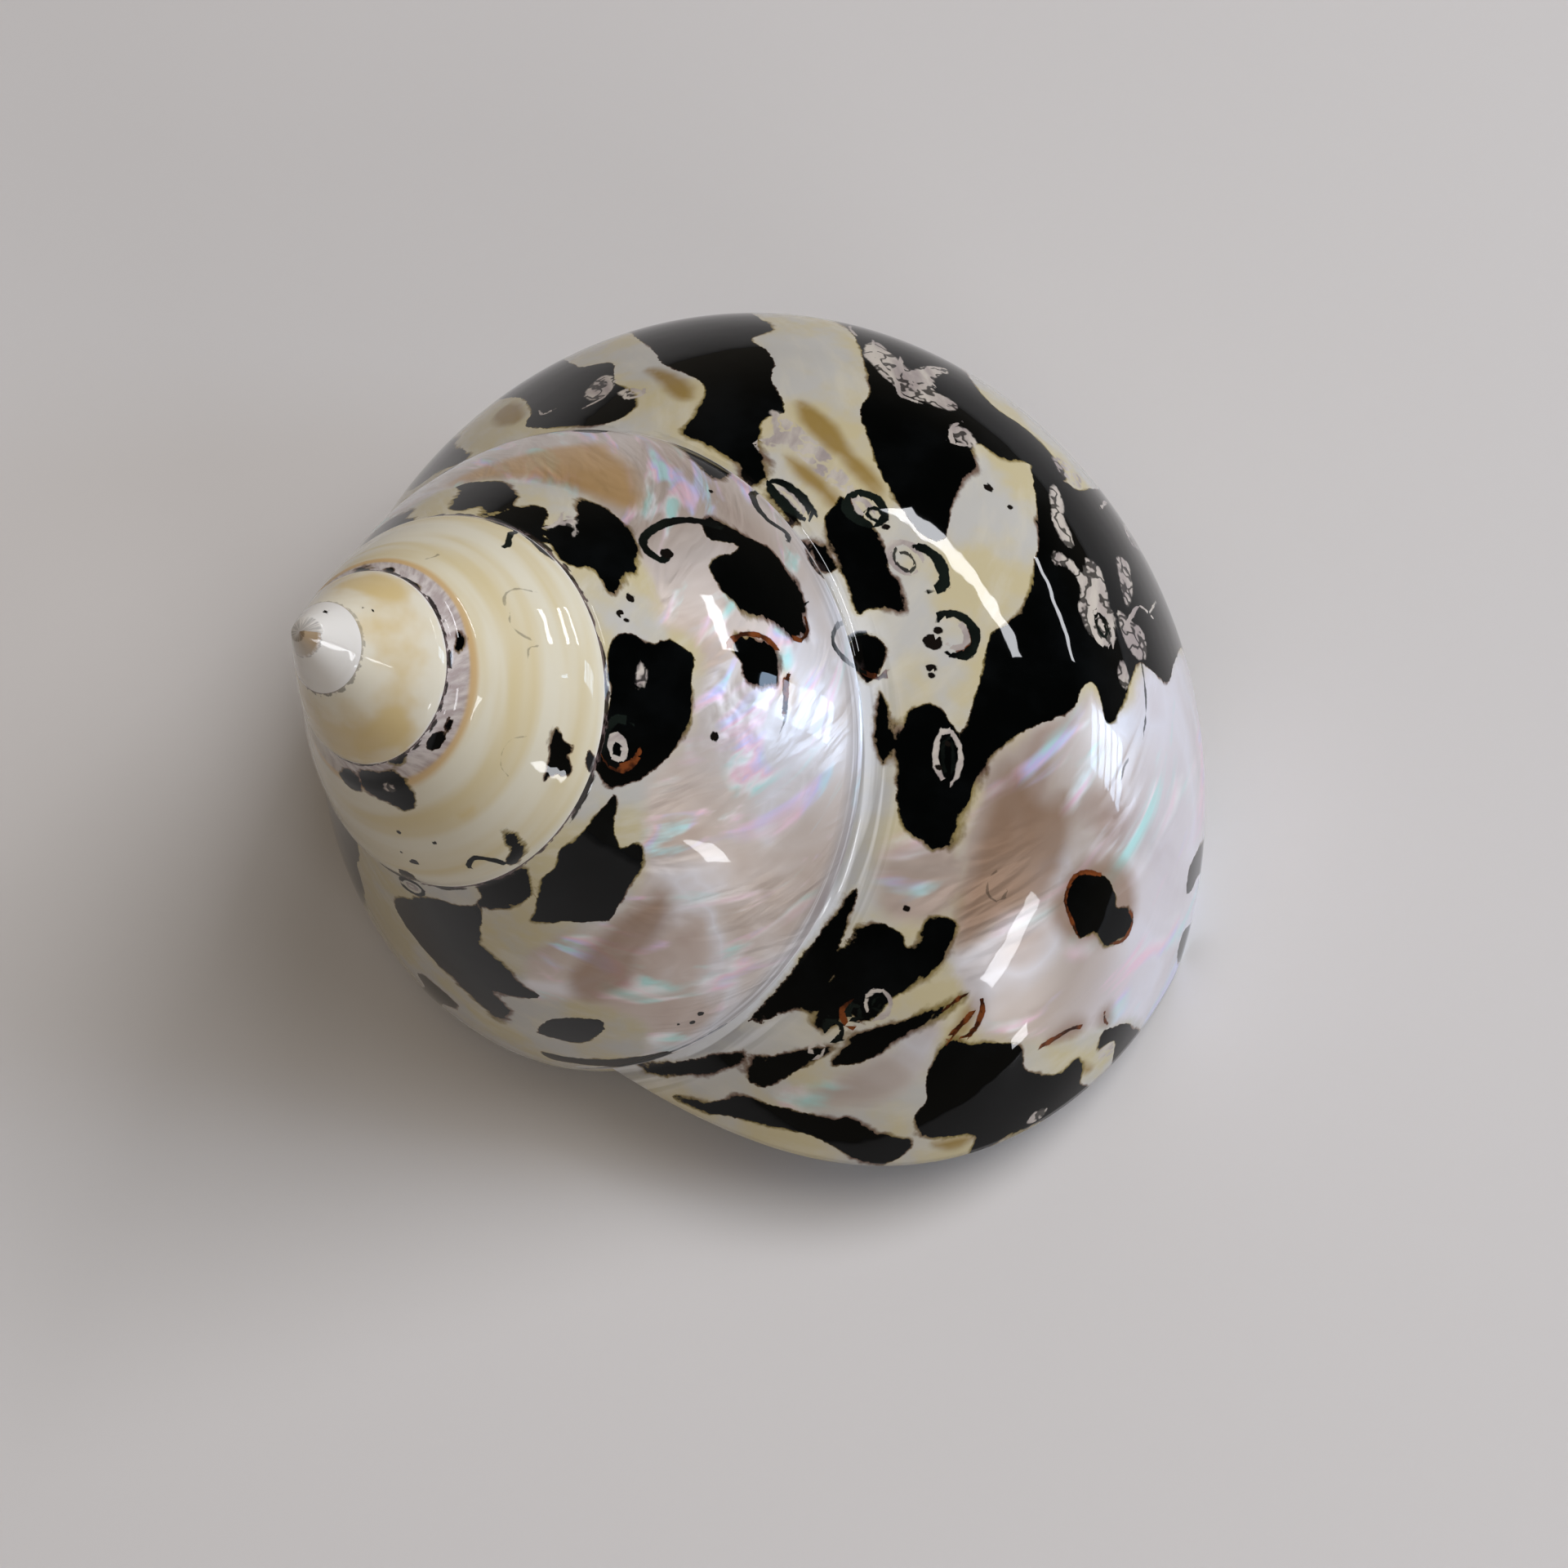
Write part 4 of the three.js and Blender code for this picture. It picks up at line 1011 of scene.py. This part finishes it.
# A painted white glint on the rolled edge just above the seam
edge = g.math("MULTIPLY", g.ramp(above, 0.28, 0.05), g.ramp(seam_noise, 0.6, 0.4, 0.1, 0.7))
base = g.mix(edge, base, SEAM_GLINT)
streak_place = g.math("MINIMUM", g.math("ADD", below, g.ramp(turn, 3.5, 3.6, FAR_FROM_SUTURE, 0.0)), above)
streaks = g.noise(g.pair(turn, 9.0, streak_place, 1.7), 1.0, 2.0, 0.5, 0.4)
streak_share = g.math("MULTIPLY", g.ramp(streak_place, 2.4, 0.4, 0.0, 0.55), g.ramp(black_edge, 0.0, 0.3))
third_turn = g.math("MULTIPLY", g.ramp(turn, 2.86, 2.95), g.ramp(turn, 3.3, 3.22))
streak_share = g.math("MULTIPLY", streak_share, g.math("MAXIMUM", g.ramp(turn, 3.86, 3.95), third_turn))
streak_tone = g.mix(g.ramp(streaks, 0.42, 0.58), STREAK_GREY, STREAK_WHITE)
base = g.mix(streak_share, base, streak_tone)

pearl_inside = g.mix(g.ramp(broad, 0.35, 0.65), INSIDE_CREAM, INSIDE_MINT)
base = g.mix(g.attribute("inside"), base, pearl_inside)
g.put(g.shader.inputs["Base Color"], base)

# Polish: one clear glossy coat over a body that is satin, with a pearly lustre where the pearl is bare
bare_pearl = g.math("MAXIMUM", pearl_share, g.attribute("inside"))
bare_pearl = g.math("MULTIPLY", bare_pearl, g.ramp(black_edge, -0.05, 0.1))
g.put(g.shader.inputs["Metallic"], g.math("MULTIPLY", bare_pearl, 0.45))
g.put(g.shader.inputs["Roughness"], g.math("MULTIPLY_ADD", bare_pearl, -0.05, 0.45))
satin = g.node("ShaderNodeBump", {"Strength": g.math("MULTIPLY", bare_pearl, 0.45), "Distance": 0.0008,
                                  "Height": g.noise(along, 1.5, 2.5, 0.5, 1.0)})
g.put(g.shader.inputs["Normal"], satin.outputs["Normal"])
ripple = g.node("ShaderNodeBump", {"Strength": 0.25, "Distance": 0.00012,
                                   "Height": g.noise(here, RIPPLE_WAVES, 2.0)})
g.put(g.shader.inputs["Coat Normal"], ripple.outputs["Normal"])
for socket, number in (("Specular IOR Level", 0.0), ("Coat Weight", 1.0), ("Coat Roughness", 0.02),
                       ("Coat IOR", 1.33)):
    g.put(g.shader.inputs[socket], number)
shell_mesh.materials.append(polish)


# Floor: a plain pale surface under the shell, level and matt, and wide enough to reach past the view.
# It stands for no piece of the object.
FLOOR_HALF, FLOOR_COLOUR, FLOOR_ROUGHNESS = 2.0, colour(212, 208, 206), 0.6
floor_mesh = bpy.data.meshes.new("floor")
floor_corners = FLOOR_HALF * np.array([(-1, -1, 0), (1, -1, 0), (1, 1, 0), (-1, 1, 0)])
floor_mesh.from_pydata(floor_corners.tolist(), [], [(0, 1, 2, 3)])
floor = bpy.data.objects.new("floor", floor_mesh)
bpy.context.scene.collection.objects.link(floor)
pale_floor = bpy.data.materials.new("pale_floor")
f = Graph(pale_floor)
f.put(f.shader.inputs["Base Color"], FLOOR_COLOUR)
f.put(f.shader.inputs["Roughness"], FLOOR_ROUGHNESS)
floor_mesh.materials.append(pale_floor)


# Camera: where the picture was taken from, looking down on the tip from a little to the left of the lip.
# The tip's pixel and its distance in suture radii fix the place, and the roll and tilt the direction.
FOCAL_PIXELS, FRAME_PIXELS = 4000.0, 1920.0
TIP_PIXEL = np.array([358.1, 770.8])
TIP_AWAY = 16.924
VIEW_ROLL, VIEW_TILT = 0.251, np.radians(60.0)
SENSOR_WIDTH, NEAREST_SEEN = 36.0, 0.01
roll_c, roll_s = np.cos(VIEW_ROLL), np.sin(VIEW_ROLL)
tilt_c, tilt_s = np.cos(VIEW_TILT), np.sin(VIEW_TILT)
first_axis = np.array([roll_c * tilt_s, roll_s * tilt_s, -tilt_c])
third_axis = np.array([roll_c * tilt_c, roll_s * tilt_c, tilt_s])
view = np.stack([first_axis, np.cross(third_axis, first_axis), third_axis])
tip_seen = TIP_AWAY * np.append((TIP_PIXEL - FRAME_PIXELS / 2) / FOCAL_PIXELS, 1.0)
camera_data = bpy.data.cameras.new("camera")
camera_data.sensor_width = SENSOR_WIDTH
camera_data.lens = FOCAL_PIXELS / FRAME_PIXELS * SENSOR_WIDTH
camera_data.clip_start = NEAREST_SEEN
camera = bpy.data.objects.new("camera", camera_data)
bpy.context.scene.collection.objects.link(camera)
right, down, away = (leaned(view[:, axis]) / SUTURE_RADIUS for axis in range(3))
camera_place = leaned(-view @ tip_seen) + stand
placed = np.eye(4)
placed[:3, :4] = np.stack([right, -down, -away, camera_place], 1)
camera.matrix_world = Matrix(placed.tolist())
bpy.context.scene.camera = camera


# Light: a soft room with a broad key and fill, two thin lamps that draw the white streaks on the polish,
# two small windows low in front that give the slanted glints, and a window of five panes on the right.
KEY_COLOUR, FILL_COLOUR, WINDOW_COLOUR = colour(248, 250, 255), colour(255, 240, 220), colour(198, 224, 255)
SHELL_MIDDLE = Vector((0, 0, 0.025))
PANES, PANE_FROM, PANE_STEP = 5, 8, 4
ROOM_LOW, ROOM_HIGH, ROOM_FADE = 0.16, 0.035, 0.55


def area_light(name, azimuth, elevation, distance, size, power, shade, spin=0.0, mirrored=True):
    """A rectangular lamp seen from the shell's middle at an azimuth and elevation, facing the shell."""
    azimuth, elevation = np.radians(azimuth), np.radians(elevation)
    level = np.cos(elevation)
    towards = Vector((level * np.cos(azimuth), level * np.sin(azimuth), np.sin(elevation)))
    data = bpy.data.lights.new(name, "AREA")
    data.shape = "RECTANGLE"
    data.size, data.size_y = size
    data.energy = power
    data.color = shade[:3]
    lamp = bpy.data.objects.new(name, data)
    lamp.location = towards * distance + SHELL_MIDDLE
    lamp.rotation_mode = "QUATERNION"
    lamp.rotation_quaternion = towards.to_track_quat("Z", "Y") @ Quaternion((0, 0, 1), np.radians(spin))
    lamp.visible_glossy = mirrored
    lamp.visible_camera = False
    bpy.context.scene.collection.objects.link(lamp)


area_light("key", 38, 52, 2.4, (1.7, 1.7), 32.0, KEY_COLOUR, mirrored=False)
area_light("fill", -80, 78, 1.3, (1.2, 1.2), 3.6, FILL_COLOUR, mirrored=False)
area_light("long_lamp", 47, 50.5, 0.7, (0.42, 0.03), 1.0, KEY_COLOUR)
area_light("lower_lamp", 40, 31.5, 0.7, (0.25, 0.016), 0.33, KEY_COLOUR)
area_light("side_window", -38, 25, 0.8, (0.27, 0.05), 0.7, KEY_COLOUR, spin=22)
area_light("low_window", -40, 4, 0.8, (0.07, 0.06), 0.25, KEY_COLOUR)
for pane in range(PANES):
    pane_height = PANE_FROM + PANE_STEP * pane
    area_light("window_pane_%d" % pane, 15, pane_height, 0.9, (0.2, 0.045), 0.45, WINDOW_COLOUR)
world = bpy.data.worlds.new("room")
world.use_nodes = True
room = world.node_tree
room.nodes["Background"].inputs["Color"].default_value = FILL_COLOUR
towards = room.nodes.new("ShaderNodeTexCoord")
height = room.nodes.new("ShaderNodeSeparateXYZ")
fade = room.nodes.new("ShaderNodeMapRange")
fade.interpolation_type = "SMOOTHSTEP"
fade.inputs["From Max"].default_value = ROOM_FADE
fade.inputs["To Min"].default_value = ROOM_LOW
fade.inputs["To Max"].default_value = ROOM_HIGH
room.links.new(towards.outputs["Generated"], height.inputs[0])
room.links.new(height.outputs["Z"], fade.inputs["Value"])
room.links.new(fade.outputs["Result"], room.nodes["Background"].inputs["Strength"])
bpy.context.scene.world = world
bpy.context.scene.view_settings.view_transform = "Standard"
